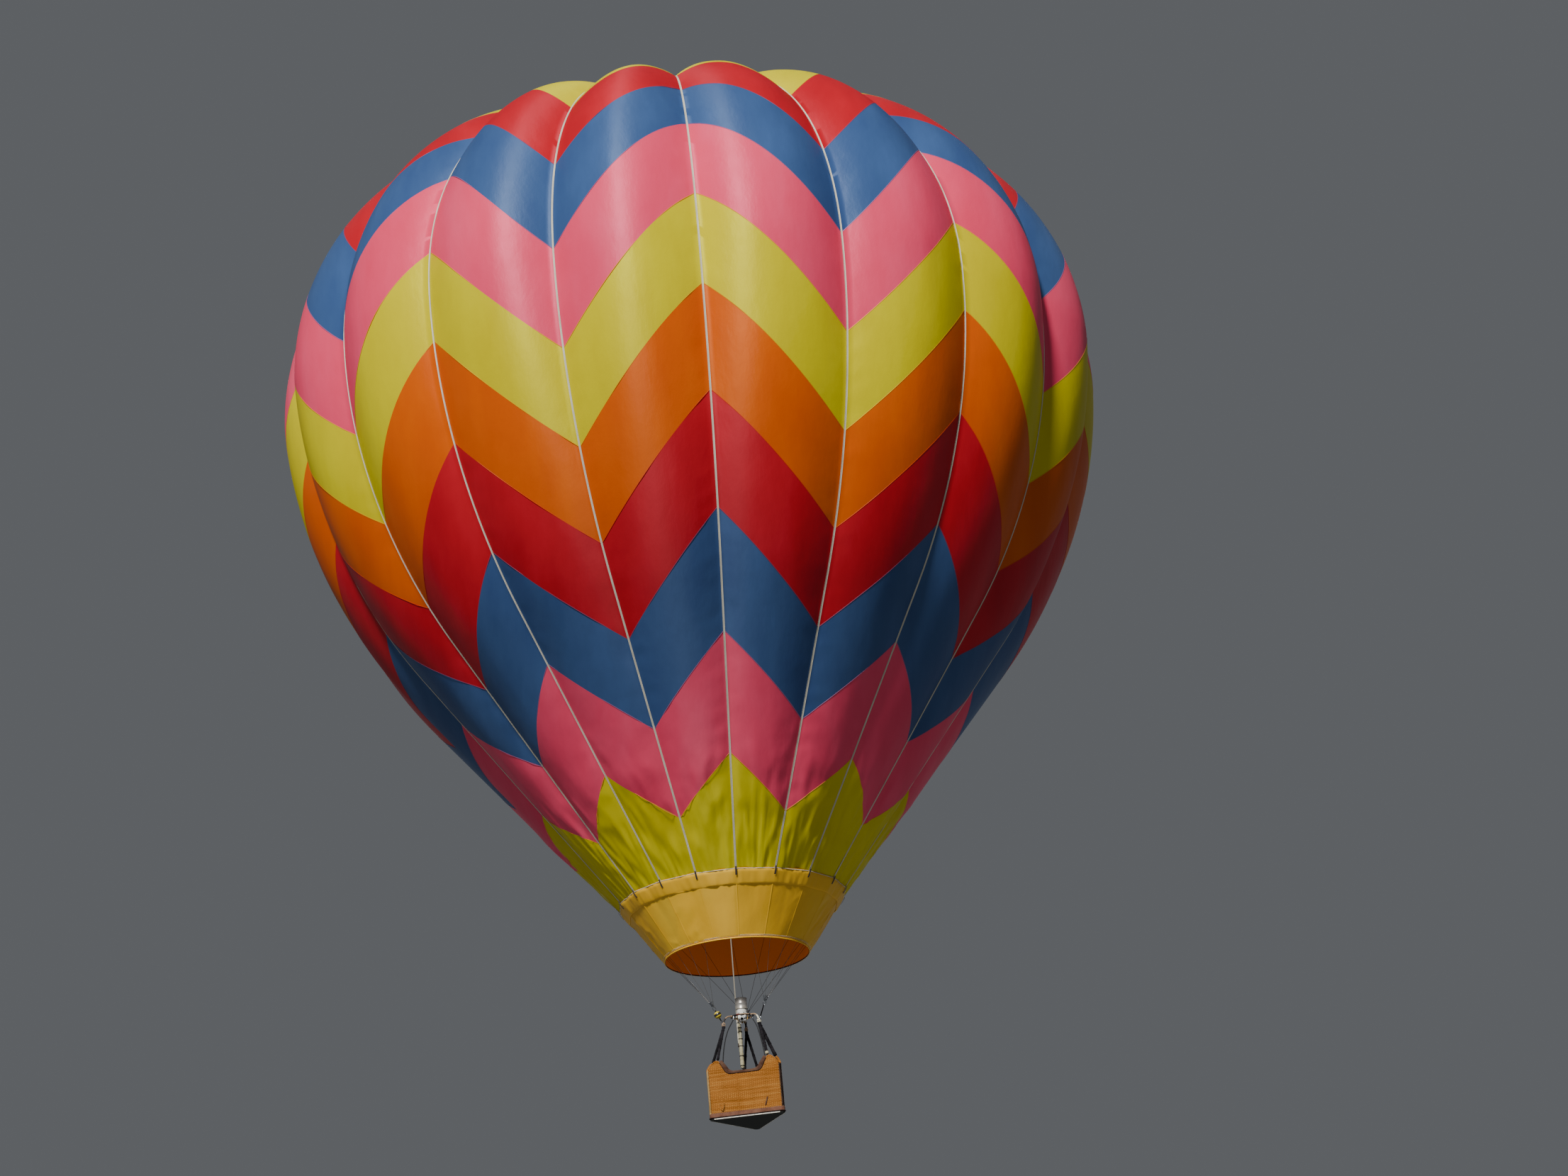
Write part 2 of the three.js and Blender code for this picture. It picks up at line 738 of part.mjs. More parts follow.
const canProfile = [
  [0, canBottom],
  [canRadius, canBottom],
  [canRadius, canTop],
  [canRadius - canWall, canTop],
  [canRadius - canWall, canBottom + canWall],
  [0, canBottom + canWall],
];
addBurnerNode("burner_can", latheUp(canProfile, 20), 0xb4aaa0, "steel");

function burnerCoil() {
  const points = [];
  const stepsPerTurn = 10;
  const coilBottom = canBottom + canWall + coilTube + 1;
  const rise = canTop - coilBottom - 30;
  for (let i = 0; i <= coilTurns * stepsPerTurn; i++) {
    const share = i / (coilTurns * stepsPerTurn);
    points.push(polar(coilRadius, share * coilTurns * 2 * Math.PI, coilBottom + share * rise));
  }
  return tube(points, coilTube, 5, coilTurns * stepsPerTurn);
}

addBurnerNode("burner_coil", burnerCoil(), 0x8c8278, "steel");
const knob = new THREE.CylinderGeometry(knobRadius, knobRadius, knobLength, 16);
knob.translate(0, -(blockSize.y / 2 + knobLength / 2 + 1), blockBottom + 50);
addBurnerNode("valve_knob", knob, 0x19191c, "rubber");

// A fuel cylinder stands in each corner, and its hose climbs to the load frame
const cylinderProfile = [
  [0, 0],
  [cylinderRadius, 0],
  [cylinderRadius, cylinderHeight - 70],
  [cylinderRadius * 0.8, cylinderHeight - 15],
  [collarRadius, cylinderHeight],
  [collarRadius, cylinderHeight + collarHeight],
  [0, cylinderHeight + collarHeight],
];

// Along a climbing hose: reach from the axis, height over the floor, share of its turn round the axis
const climbRoute = [
  [cylinderReach, floorThickness + cylinderHeight + collarHeight + 6, 0],
  [496, 1130, 0],
  [475, 1320, 0],
  [440, 1510, 0.02],
  [393, 1690, 0.12],
  [335, 1850, 0.4],
  [270, 1970, 0.75],
  [ringRadius + 10, 2050, 0.97],
  [ringRadius, stubBottom - 3, 1],
];

function climbingHose(corner) {
  return climbRoute.map(([reach, height, share]) =>
    polar(reach, corner.azimuth + share * hoseTurn, overFloor(height)),
  );
}

// The hose that leaves its cylinder's valve sideways and bends up into the sleeve from below
function sleeveHose(corner) {
  const start = polar(cylinderReach, corner.azimuth, 0);
  const end = polar(ringRadius, sleeveAzimuth, 0);
  const span = start.distanceTo(end);
  const outlet = floorThickness + cylinderHeight + sideOutletHeight;
  // Distance from the cylinder's axis towards the sleeve, height over the floor
  const route = [
    [collarRadius + 6, outlet],
    [(collarRadius + 6 + span - hoseBend) / 2, outlet],
  ];
  for (const angle of [0, 22.5, 45, 67.5, 90].map(radians)) {
    route.push([span - hoseBend * (1 - Math.sin(angle)), outlet + hoseBend * (1 - Math.cos(angle))]);
  }
  route.push([span, sleeveBottom - 6]);
  return route.map(([along, height]) => start.clone().lerp(end, along / span).setZ(overFloor(height)));
}

const sleeveProfile = [
  [0, sleeveBottom],
  [sleeveRadius - 3, sleeveBottom],
  [sleeveRadius, sleeveBottom + 30],
  [sleeveRadius, sleeveTaperHeight],
  [sleeveTopRadius, sleeveTop],
  [0, sleeveTop],
];
const sleevePlace = polar(ringRadius, sleeveAzimuth, floorZ);
const sleeve = latheUp(sleeveProfile, 16).translate(...sleevePlace.toArray());
addNode("hose_sleeve", sleeve, 0xb88a58, "leather");

for (const corner of corners) {
  const bottom = polar(cylinderReach, corner.azimuth, overFloor(floorThickness) + 0.5);
  const cylinder = latheUp(cylinderProfile, 18).translate(...bottom.toArray());
  addNode(`fuel_cylinder_${corner.name}`, cylinder, 0xa0a0a0, "steel");
  const points = corner.name === "far" ? sleeveHose(corner) : climbingHose(corner);
  addNode(`fuel_hose_${corner.name}`, tube(points, hoseRadius, 8, 22), 0x1e1e20, "rubber");
}

export default balloon;
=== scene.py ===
# Looks of the hot air balloon, built round its solids. Metres, +Z up, the origin at the centre of lift.
# Azimuths turn about +Z and start from -Y, the near side, towards +X, the right side.
import math

import bmesh
import bpy
import numpy as np
from mathutils import Matrix, Vector


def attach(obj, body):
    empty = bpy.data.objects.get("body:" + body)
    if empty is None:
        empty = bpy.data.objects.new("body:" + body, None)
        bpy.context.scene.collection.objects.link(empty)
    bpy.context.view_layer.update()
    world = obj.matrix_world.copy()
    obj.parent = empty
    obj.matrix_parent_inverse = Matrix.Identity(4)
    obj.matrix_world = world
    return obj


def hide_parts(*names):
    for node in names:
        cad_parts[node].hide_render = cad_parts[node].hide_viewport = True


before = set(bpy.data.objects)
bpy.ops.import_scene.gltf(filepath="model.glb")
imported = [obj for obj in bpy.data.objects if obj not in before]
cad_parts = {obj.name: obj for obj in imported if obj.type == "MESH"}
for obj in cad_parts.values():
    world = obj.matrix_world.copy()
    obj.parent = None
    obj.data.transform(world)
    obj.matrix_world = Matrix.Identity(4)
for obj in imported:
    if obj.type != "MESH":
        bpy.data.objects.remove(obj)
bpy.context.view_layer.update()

# Envelope, measured to the load tapes
GORES = 18
HALF_GORE = math.pi / GORES
TAPE_RADIUS = 8.2
EQUATOR_Z = 1.3
CROWN_RISE = 6.65
LOWER_ARC_RADIUS = 10.0
CONE_ANGLE = math.radians(38)
MOUTH_Z = -9.67
FIRST_TAPE_AZIMUTH = math.radians(2.9)
FIRST_NEAR_TAPE = -5
VENT_RADIUS = 1.9
# How far the cloth stands out between two tapes, as a share of half the gore's width: height, share
LOBE_FULLNESS = [(8.0, 0.42), (1.3, 0.42), (-3.0, 0.27), (-8.0, 0.22), (MOUTH_Z, 0.0)]
TAPE_WIDTH = 0.038
TAPE_THICKNESS = 0.003
TAPE_LIFT = 0.0015
CROWN_RING_RADIUS = 0.15
CROWN_RING_TUBE = 0.014
CROWN_RING_Z = EQUATOR_Z + CROWN_RISE + 0.0085
COLUMNS_PER_GORE = 24
ROW_LENGTH = 0.1
SEAM_HALF_WIDTH = 0.011

# Vent
VENT_PANELS = 12
VENT_OVERLAP = 0.15
VENT_INSET = 0.031
SHROUD_MEET_Z = 5.0
SHROUD_EVERY = 3
PULL_LINE_END = Vector((-0.115, 0.27, -12.6))
PULL_LINE_RADIUS = 0.012

# Skirt
SKIRT_BOTTOM_RADIUS = 1.47
SKIRT_BOTTOM_Z = -10.85
SKIRT_THICKNESS = 0.01
HEM_RADIUS = 0.013
# The hem's tube has these sides, and those that look at the skirt's axis are painted dark: painted shade on
# the hem's inner side
HEM_SIDES = 10
HEM_INNER_SIDES = range(3, 7)
# Down the folded band: share of the skirt's length, how far it stands out
SKIRT_FOLD = [(0.012, 0.004), (0.02, 0.016), (0.06, 0.020), (0.1, 0.021), (0.14, 0.021), (0.18, 0.020),
              (0.21, 0.018), (0.23, 0.014), (0.237, 0.006)]
# Down a tape's dark end, in the same columns
TAPE_END = [(-0.02, 0.02), (0.0, 0.026), (0.02, 0.03), (0.045, 0.032), (0.07, 0.032), (0.09, 0.03),
            (0.1, 0.026)]

# Basket, load frame and burner, as heights over the floor's underside
NEAR_SIDE_AZIMUTH = math.radians(-8)
FLOOR_Z = -14.23
CORNER_REACH = 0.915
CORNER_RADIUS = 0.06
WALL_THICKNESS = 0.035
# Top edge of one wall: distance from the middle of the side, height
WALL_TOP = [(0, 0.9), (0.3, 0.905), (0.37, 0.95), (0.42, 1.05), (0.46, 1.13), (0.5, 1.16), (0.56, 1.165),
            (0.61, 1.13), (0.66, 1.08), (0.6885, 1.045), (0.72, 1.0), (0.7513, 0.985)]
# Top of the padded binding on its low part, in the same columns
BINDING_TOP = [(0, 0.942), (0.2, 0.944), (0.27, 0.965), (0.33, 1.05), (0.38, 1.13), (0.43, 1.185),
               (0.5, 1.19)]
# Distances from the middle of the side to the start of a wall's inner lining and the end of its binding
LINING_START = 0.4
BINDING_REACH = 0.47
STAKE_PITCH = 0.04
WEAVER_PITCH = 0.018
# A wall's faces: width of their columns, rows of points to a weaver
OUTER_WEAVE = (0.0078, 4)
INNER_WEAVE = (0.0155, 3)
STITCH_PITCH = 0.03
STITCH_LENGTH = 0.014
BAND_LACE_PITCH = 0.045
CORNER_LACE_PITCH = 0.03
LINING_BOTTOM = 0.74
RIDGE_PLACE = -0.14
WALL_BOTTOM = 0.0305
BAND_HEIGHT = 0.09
FLOOR_STRIP_SIZE = (1.318, 0.013, 0.0195)
FLOOR_SCREWS = 9
COVER_FOOT_DISTANCE = 0.5
COVER_FOOT_HEIGHT = 1.205
RING_HEIGHT = 2.13
RING_RADIUS = 0.215
RING_TUBE = 0.013
BRACKET_REACH = 0.42
BRACKET_HEIGHT = 1.95
BRACKET_SIZE = 0.063
COVER_CAP_DROP = 0.056
# The ring's dark grips and its red one, from one of its steps to another
RING_STEPS = 72
GRIP_STEPS = [(60, 66), (8, 15), (30, 36)]
RED_GRIP_STEPS = (66, 69)
CABLE_RADIUS = 0.0035
CABLE_END = 0.2
MEET_REACH = 0.6
MEET_HEIGHT = 2.3
LINK_LOW_REACH = 0.44
LINK_LOW_HEIGHT = 1.99
BALL_RADIUS = 0.074
BALL_PLACE = 0.52
GIMBAL_RADIUS = 0.165
PIN_RADIUS = 0.008
CAN_BOTTOM = 2.277
CAN_TOP = 2.5
RIVET_HEIGHTS = (2.284, 2.384)
RIVETS_IN_A_RING = 12
JETS = 16
BASE_BOLTS = 6
COIL_RADIUS = 0.08
COIL_TURNS = 3
# Radius of each corner's first and second covered leg
COVERED_LEGS = {"right": (0.031, 0.033), "far": (0.027, 0.027), "left": (0.026, 0.026)}

# Fuel
CYLINDER_REACH = 0.5
CYLINDER_FOOT = 0.0305
CYLINDER_HEIGHT = 0.86
SIDE_OUTLET_HEIGHT = 0.95
SIDE_OUTLET_REACH = 0.086
HOSE_DIAMETER = 0.021
HOSE_TURN = math.radians(14)
HOSE_BEND = 0.125
# Along a climbing hose: reach from the axis, height over the floor, share of its turn round the axis
CLIMB_ROUTE = [(CYLINDER_REACH, 0.986, 0), (0.496, 1.13, 0), (0.475, 1.32, 0), (0.44, 1.51, 0.02),
               (0.393, 1.69, 0.12), (0.335, 1.85, 0.4), (0.27, 1.97, 0.75), (RING_RADIUS + 0.01, 2.05, 0.97),
               (RING_RADIUS, 2.093, 1)]
SLEEVE_AZIMUTH = math.radians(200)
SLEEVE_TOP = 2.086
SLEEVE_BOTTOM = 1.12
SLEEVE_TAPER_HEIGHT = 1.65
TIE_HEIGHTS = (1.17, 1.37, 1.573, 1.72, 1.863, 1.95, 2.06)
JACKET_BELT_HEIGHTS = (0.27, 0.61)

# Camera, fitted to the tapes and the outline in the photograph
CAMERA_PLACE = Vector((0, -69.415, -29.58))
CAMERA_YAW = math.radians(1.339)
CAMERA_PITCH = math.radians(20.956)
CAMERA_ROLL = math.radians(-5.238)
FOCAL_LENGTH_PIXELS = 4989.3
PHOTO_WIDTH_PIXELS = 2212
SENSOR_WIDTH_MM = 36
CAMERA_OVER_FLOOR = 0.05

# Studio
STUDIO_FLOOR_RADIUS = 11
BACKGROUND_STRENGTH = 0.14
# Lights: name, azimuth and elevation in degrees, strength, how wide each looks in degrees
STUDIO_LIGHTS = [("key", -15, 35, 4.4, 7), ("back_fill", 178, 30, 0.9, 40)]

# Painted glow: emission that stands in for sunlight coming through the cloth to the skirt's inside and to
# the vent's rope
LINING_PAINTED_GLOW = 0.2
ROPE_PAINTED_GLOW = 0.3


def make_camera():
    camera = bpy.data.objects.new("camera", bpy.data.cameras.new("camera"))
    bpy.context.scene.collection.objects.link(camera)
    yaw, pitch, roll = CAMERA_YAW, CAMERA_PITCH, CAMERA_ROLL
    forward = Vector((math.sin(yaw) * math.cos(pitch), math.cos(yaw) * math.cos(pitch), math.sin(pitch)))
    level = Vector((math.cos(yaw), -math.sin(yaw), 0))
    upward = level.cross(forward)
    right = level * math.cos(roll) + upward * math.sin(roll)
    up = upward * math.cos(roll) - level * math.sin(roll)
    turn = Matrix((right, up, -forward)).transposed()
    camera.matrix_world = Matrix.Translation(CAMERA_PLACE) @ turn.to_4x4()
    camera.data.sensor_width = SENSOR_WIDTH_MM
    camera.data.lens = SENSOR_WIDTH_MM * FOCAL_LENGTH_PIXELS / PHOTO_WIDTH_PIXELS
    camera.data.clip_end = 1000
    bpy.context.scene.camera = camera


def linear(colour):
    """A colour written as 0xRRGGBB, as the linear values that shaders take."""
    channels = [(colour >> shift & 255) / 255 for shift in (16, 8, 0)]
    return tuple(c / 12.92 if c <= 0.04045 else ((c + 0.055) / 1.055) ** 2.4 for c in channels)


def mixed(colour, other, share):
    """A colour part of the way to another, both written as 0xRRGGBB."""
    parts = [round((colour >> s & 255) * (1 - share) + (other >> s & 255) * share) for s in (16, 8, 0)]
    return parts[0] << 16 | parts[1] << 8 | parts[2]


def circle(steps):
    """Angles round a full turn."""
    return np.linspace(0, 2 * math.pi, steps, endpoint=False)


def all_round(columns):
    """Turns right round the balloon, counted in gores, with that many columns to a gore."""
    return np.linspace(0, GORES, GORES * columns + 1)[:-1]


def around(reach, azimuth, z):
    """Points at a reach from the axis, an azimuth and a height."""
    return np.stack(np.broadcast_arrays(reach * np.sin(azimuth), -reach * np.cos(azimuth), z), -1)


def polar(radius, azimuth, z=0.0):
    return Vector((radius * math.sin(azimuth), -radius * math.cos(azimuth), z))


def over_floor(height):
    return FLOOR_Z + height


def travelled(path):
    """How far along a path each of its points lies."""
    return np.concatenate([[0], np.cumsum(np.linalg.norm(np.diff(path, axis=0), axis=1))])


def laid(points, across, along, relief=0.0):
    """The place of each point: across and along the cloth or strand, and its relief."""
    place = np.zeros_like(points)
    for column, values in enumerate((across, along, relief)):
        place[..., column] = values
    return place


class Finish:
    """A material and short calls to build its nodes."""

    def __init__(self, name, colour, roughness, metallic=0.0, **sockets):
        self.material = bpy.data.materials.new(name)
        self.material.use_nodes = True
        self.tree = self.material.node_tree
        self.shader = self.tree.nodes["Principled BSDF"]
        self.shader.inputs["Base Color"].default_value = (*linear(colour), 1)
        self.shader.inputs["Roughness"].default_value = roughness
        self.shader.inputs["Metallic"].default_value = metallic
        for socket, value in sockets.items():
            self.shader.inputs[socket.replace("_", " ")].default_value = value

    def node(self, kind, inputs=None, **settings):
        node = self.tree.nodes.new("ShaderNode" + kind)
        for key, value in settings.items():
            setattr(node, key, value)
        for key, value in (inputs or {}).items():
            if isinstance(value, bpy.types.NodeSocket):
                self.tree.links.new(value, node.inputs[key])
            else:
                node.inputs[key].default_value = value
        return node

    def object_place(self, stretch=(1, 1, 1)):
        place = self.node("TexCoord").outputs["Object"]
        return self.node("Mapping", {"Vector": place, "Scale": stretch}).outputs["Vector"]

    def piece_place(self, stretch=(1, 1, 1)):
        """The place along and across the cloth or strand, which a shape carries with its points."""
        place = self.node("Attribute", attribute_name="place").outputs["Vector"]
        return self.node("Mapping", {"Vector": place, "Scale": stretch}).outputs["Vector"]

    def noise(self, place, scale, detail=3.0):
        inputs = {"Vector": place, "Scale": scale, "Detail": detail, "Roughness": 0.55}
        return self.node("TexNoise", inputs).outputs["Fac"]

    def ramp(self, value, stops):
        """A colour ramp from (place, 0xRRGGBB) stops."""
        node = self.node("ValToRGB", {"Fac": value})
        while len(node.color_ramp.elements) < len(stops):
            node.color_ramp.elements.new(0.5)
        for element, (place, colour) in zip(node.color_ramp.elements, stops):
            element.position = place
            element.color = (*linear(colour), 1)
        return node.outputs["Color"]

    def between(self, value, low, high):
        """The value run from 0..1 to low..high."""
        return self.node("MapRange", {"Value": value, "To Min": low, "To Max": high}).outputs["Result"]

    def blend(self, factor, first, second, kind="MIX"):
        node = self.node("Mix", data_type="RGBA", blend_type=kind)
        for socket, value in ((node.inputs[0], factor), (node.inputs[6], first), (node.inputs[7], second)):
            if isinstance(value, bpy.types.NodeSocket):
                self.tree.links.new(value, socket)
            elif socket.type == "RGBA":
                socket.default_value = (*linear(value), 1)
            else:
                socket.default_value = value
        return node.outputs[2]

    def paint(self, colour):
        self.tree.links.new(colour, self.shader.inputs["Base Color"])

    def dull(self, roughness):
        self.tree.links.new(roughness, self.shader.inputs["Roughness"])

    def bumps(self, *layers):
        """Bumps of (height, strength, distance), the later ones on the earlier ones."""
        normal = None
        for height, strength, distance in layers:
            inputs = {"Height": height, "Strength": strength, "Distance": distance}
            if normal is not None:
                inputs["Normal"] = normal
            normal = self.node("Bump", inputs).outputs["Normal"]
        self.tree.links.new(normal, self.shader.inputs["Normal"])


def cloth_finish(name, colour, shade, light, painted_glow=0.0):
    """Coated nylon: satin, a little uneven in tone, with fine ripstop threads and soft crumples."""
    # A glow, when given, is painted light: the cloth gives off its own colour.
    finish = Finish(name, colour, 0.5, Specular_IOR_Level=1.0, Anisotropic=0.8, Anisotropic_Rotation=0.25,
                    Emission_Strength=painted_glow)
    finish.shader.inputs["Emission Color"].default_value = (*linear(colour), 1)
    finish.shader.inputs["Specular Tint"].default_value = (*linear(mixed(light, 0xFFFFFF, 0.4)), 1)
    level = finish.node("Tangent", direction_type="RADIAL", axis="Z")
    finish.tree.links.new(level.outputs["Tangent"], finish.shader.inputs["Tangent"])
    tone = finish.noise(finish.piece_place((1, 0.35, 1)), 0.9, 4)
    finish.paint(finish.ramp(tone, [(0.3, shade), (0.52, colour), (0.75, light)]))
    finish.dull(finish.between(finish.noise(finish.piece_place(), 2.5), 0.46, 0.56))
    threads = finish.node("TexBrick", {"Vector": finish.piece_place(), "Scale": 1.0, "Brick Width": 0.012,
                                       "Row Height": 0.012, "Mortar Size": 0.0009}, offset=0.0)
    crumple = finish.noise(finish.piece_place((1, 0.5, 1)), 6.0, 3)
    finish.bumps((crumple, 0.25, 0.02), (threads.outputs["Fac"], 0.08, 0.001))
    return finish.material


def webbing_finish(name, colour, stitch, soil):
    """Woven tape with ribs across it and two rows of stitches along it."""
    finish = Finish(name, colour, 0.75, Sheen_Weight=0.2)
    across = finish.node("SeparateXYZ", {"Vector": finish.piece_place()}).outputs["X"]
    from_middle = finish.node("Math", {0: across}, operation="ABSOLUTE").outputs[0]
    from_row = finish.node("Math", {0: from_middle, 1: TAPE_WIDTH * 0.36}, operation="SUBTRACT").outputs[0]
    row = finish.node("Math", {0: from_row}, operation="ABSOLUTE").outputs[0]
    on_row = finish.node("Math", {0: row, 1: 0.0012}, operation="LESS_THAN").outputs[0]
    worn = finish.ramp(finish.noise(finish.object_place(), 1.6, 4), [(0.35, colour), (0.8, soil)])
    finish.paint(finish.blend(on_row, worn, stitch))
    ribs = finish.node("TexWave", {"Vector": finish.piece_place(), "Scale": 120.0}, bands_direction="Y")
    finish.bumps((ribs.outputs["Fac"], 0.35, 0.001))
    return finish.material


def metal_finish(name, colour, dark, roughness, scratches=0.25, metallic=1.0):
    """Brushed or painted metal with duller patches and fine scratches."""
    finish = Finish(name, colour, roughness, metallic)
    patches = finish.noise(finish.object_place(), 5.6, 5)
    finish.paint(finish.ramp(patches, [(0.32, dark), (0.6, colour)]))
    brushed = finish.noise(finish.object_place((1, 1, 6)), 84, 4)
    finish.dull(finish.between(brushed, roughness - 0.08, roughness + 0.14))
    finish.bumps((brushed, scratches, 0.0006))
    return finish.material


def leather_finish(name, colour, dark, light, grain=90.0):
    """Hide with creased grain, in patches of darker and lighter tone."""
    finish = Finish(name, colour, 0.5, Specular_IOR_Level=0.22, Sheen_Weight=0.02)
    finish.shader.inputs["Specular Tint"].default_value = (*linear(light), 1)
    worn = finish.noise(finish.object_place(), 7, 5)
    finish.paint(finish.ramp(worn, [(0.3, dark), (0.5, colour), (0.78, light)]))
    finish.dull(finish.between(finish.noise(finish.object_place(), 22), 0.38, 0.7))
    cells = finish.node("TexVoronoi", {"Vector": finish.object_place(), "Scale": grain})
    creases = finish.noise(finish.object_place(), 18, 5)
    finish.bumps((creases, 0.4, 0.004), (cells.outputs["Distance"], 0.3, 0.0012))
    return finish.material


def wicker_finish(name, gap_shade, colour, light):
    """Cane: each strand has its own tone, its fibres run along it, and the gaps between strands are painted
    dark as shade.
    """
    finish = Finish(name, colour, 0.65, Specular_IOR_Level=0.2)
    finish.shader.inputs["Specular Tint"].default_value = (*linear(light), 1)
    strand = finish.noise(finish.piece_place((1.3, 42, 1)), 1.0, 2)
    tones = finish.ramp(strand, [(0.3, mixed(colour, gap_shade, 0.34)), (0.5, colour), (0.72, light)])
    patches = finish.ramp(finish.noise(finish.object_place(), 2.2, 3), [(0.35, 0xE0D6C8), (0.65, 0xFFFFFF)])
    tones = finish.blend(0.6, tones, patches, "MULTIPLY")
    relief = finish.node("SeparateXYZ", {"Vector": finish.piece_place()}).outputs["Z"]
    proud = finish.node("MapRange", {"Value": relief, "From Min": 0.05, "From Max": 0.62}).outputs["Result"]
    # Painted shade: where the relief is low, between strands, the colour runs to the dark shade colour.
    finish.paint(finish.blend(proud, gap_shade, tones))
    fibres = finish.noise(finish.piece_place((60, 600, 1)), 1.0, 3)
    finish.bumps((fibres, 0.35, 0.0012))
    return finish.material


def plain_finish(name, colour, dark, roughness, **sockets):
    """Rubber, plastic or paint with a fine uneven skin and dusty patches."""
    finish = Finish(name, colour, roughness, **sockets)
    place = finish.object_place()
    finish.paint(finish.ramp(finish.noise(place, 9, 5), [(0.3, dark), (0.62, colour)]))
    finish.dull(finish.between(finish.noise(place, 30), roughness - 0.08, roughness + 0.12))
    finish.bumps((finish.noise(place, 240), 0.2, 0.0008))
    return finish.material


def wood_finish(name, colour, dark, roughness):
    finish = Finish(name, colour, roughness)
    grain = finish.noise(finish.object_place((2, 40, 40)), 1.0, 5)
    finish.paint(finish.ramp(grain, [(0.3, dark), (0.65, colour)]))
    finish.bumps((grain, 0.3, 0.002))
    return finish.material


def braid_finish(name, colour, dark, pitch, roughness, metallic=0.0, painted_glow=0.0):
    """Rope, braid or stranded cable: its strands cross it at a slant."""
    # A glow, when given, is painted light: the rope gives off its own colour.
    finish = Finish(name, colour, roughness, metallic, Emission_Strength=painted_glow)
    finish.shader.inputs["Emission Color"].default_value = (*linear(colour), 1)
    strands = finish.node("TexWave", {"Vector": finish.piece_place(), "Scale": 1 / pitch},
                          bands_direction="DIAGONAL")
    finish.paint(finish.ramp(strands.outputs["Fac"], [(0.15, dark), (0.6, colour)]))
    finish.bumps((strands.outputs["Fac"], 0.6, 0.0015))
    return finish.material


class Shape:
    """Points and faces, and for each point a place: along, across and relief, which finishes may use."""

    def __init__(self, points, faces, place=None):
        self.points = np.asarray(points, float).reshape(-1, 3)
        self.faces = faces
        self.place = np.zeros_like(self.points) if place is None else np.asarray(place, float).reshape(-1, 3)

    def at(self, offset=(0, 0, 0), azimuth=0.0, tilt=0.0):
        """The shape tilted about X, turned about Z and then moved."""
        turn = Matrix.Rotation(azimuth, 3, "Z") @ Matrix.Rotation(tilt, 3, "X")
        return Shape(self.points @ np.array(turn).T + np.array(offset, float), self.faces, self.place)

    def along(self, start, end):
        """The shape with its Z axis from one point towards another, its origin at the first."""
        direction = Vector(end) - Vector(start)
        turn = Vector((0, 0, 1)).rotation_difference(direction).to_matrix()
        return Shape(self.points @ np.array(turn).T + np.array(start, float), self.faces, self.place)


def grid(points, wrap_rows=False, wrap_columns=False, place=None, flip=False):
    """A surface through a rows x columns x 3 array of points."""
    points = np.asarray(points, float)
    rows, columns = points.shape[:2]
    r = np.arange(rows if wrap_rows else rows - 1)
    c = np.arange(columns if wrap_columns else columns - 1)
    r, c = np.meshgrid(r, c, indexing="ij")
    r, c = r.ravel(), c.ravel()
    below, right = (r + 1) % rows, (c + 1) % columns
    faces = np.stack([r * columns + c, below * columns + c, below * columns + right, r * columns + right], 1)
    if flip:
        faces = faces[:, ::-1]
    return Shape(points, faces.tolist(), place)


def smooth_path(points, steps):
    """A smooth curve through the points, a centripetal spline, with that many steps in all."""
    points = np.asarray(points, float)
    ends = np.vstack([2 * points[0] - points[1], points, 2 * points[-1] - points[-2]])
    at = np.linspace(0, len(points) - 1, steps + 1)
    i = np.minimum(at.astype(int), len(points) - 2)
    t = (at - i)[:, None]
    a, b, c, d = (ends[i + k] for k in range(4))
    before, here, after = (np.linalg.norm(q - p, axis=1)[:, None] ** 0.5
                           for p, q in ((a, b), (b, c), (c, d)))
    start = ((b - a) / before - (c - a) / (before + here)) * here + c - b
    end = ((d - c) / after - (d - b) / (here + after)) * here + c - b
    return (b * (2 * t**3 - 3 * t**2 + 1) + start * (t**3 - 2 * t**2 + t)
            + c * (3 * t**2 - 2 * t**3) + end * (t**3 - t**2))


def frames_along(path, closed=False):
    """Two directions across a path at each of its points, turning as little as they can."""
    path = np.asarray(path, float)
    ahead = np.roll(path, -1, 0) - np.roll(path, 1, 0) if closed else np.gradient(path, axis=0)
    ahead /= np.linalg.norm(ahead, axis=1)[:, None]
    start = np.cross(ahead[0], [0, 0, 1] if abs(ahead[0][2]) < 0.9 else [1, 0, 0])
    sides = [start / np.linalg.norm(start)]
    for direction in ahead[1:]:
        side = sides[-1] - direction * (sides[-1] @ direction)
        sides.append(side / np.linalg.norm(side))
    sides = np.array(sides)
    return sides, np.cross(ahead, sides)


def capped(shape, sides):
    """A tube's surface with a face over each end."""
    last = len(shape.points) - sides
    shape.faces += [list(range(sides)), list(range(last + sides - 1, last - 1, -1))]
    return shape


def tube(path, radius, sides=12, closed=False):
    """A bar along a path. The radius is a number, one for each point or one for each point's sides."""
    path = np.asarray(path, float)
    side, up = frames_along(path, closed)
    angle = circle(sides)
    radius = np.asarray(radius, float)
    radius = np.broadcast_to(radius if radius.ndim == 2 else radius[..., None], (len(path), sides))
    rim = np.cos(angle)[:, None] * side[:, None] + np.sin(angle)[:, None] * up[:, None]
    points = path[:, None] + radius[..., None] * rim
    place = laid(points, angle * radius, travelled(path)[:, None])
    shape = grid(points, wrap_rows=closed, wrap_columns=True, place=place)
    return shape if closed else capped(shape, sides)


def rod(start, end, radius, sides=12, steps=1):
    return tube(np.linspace(start, end, steps + 1), radius, sides)


def ring(radius, thickness, z=0.0, steps=48, sides=12):
    turn = circle(steps)
    path = np.stack([radius * np.cos(turn), radius * np.sin(turn), np.full(steps, z)], 1)
    return tube(path, thickness, sides, closed=True)


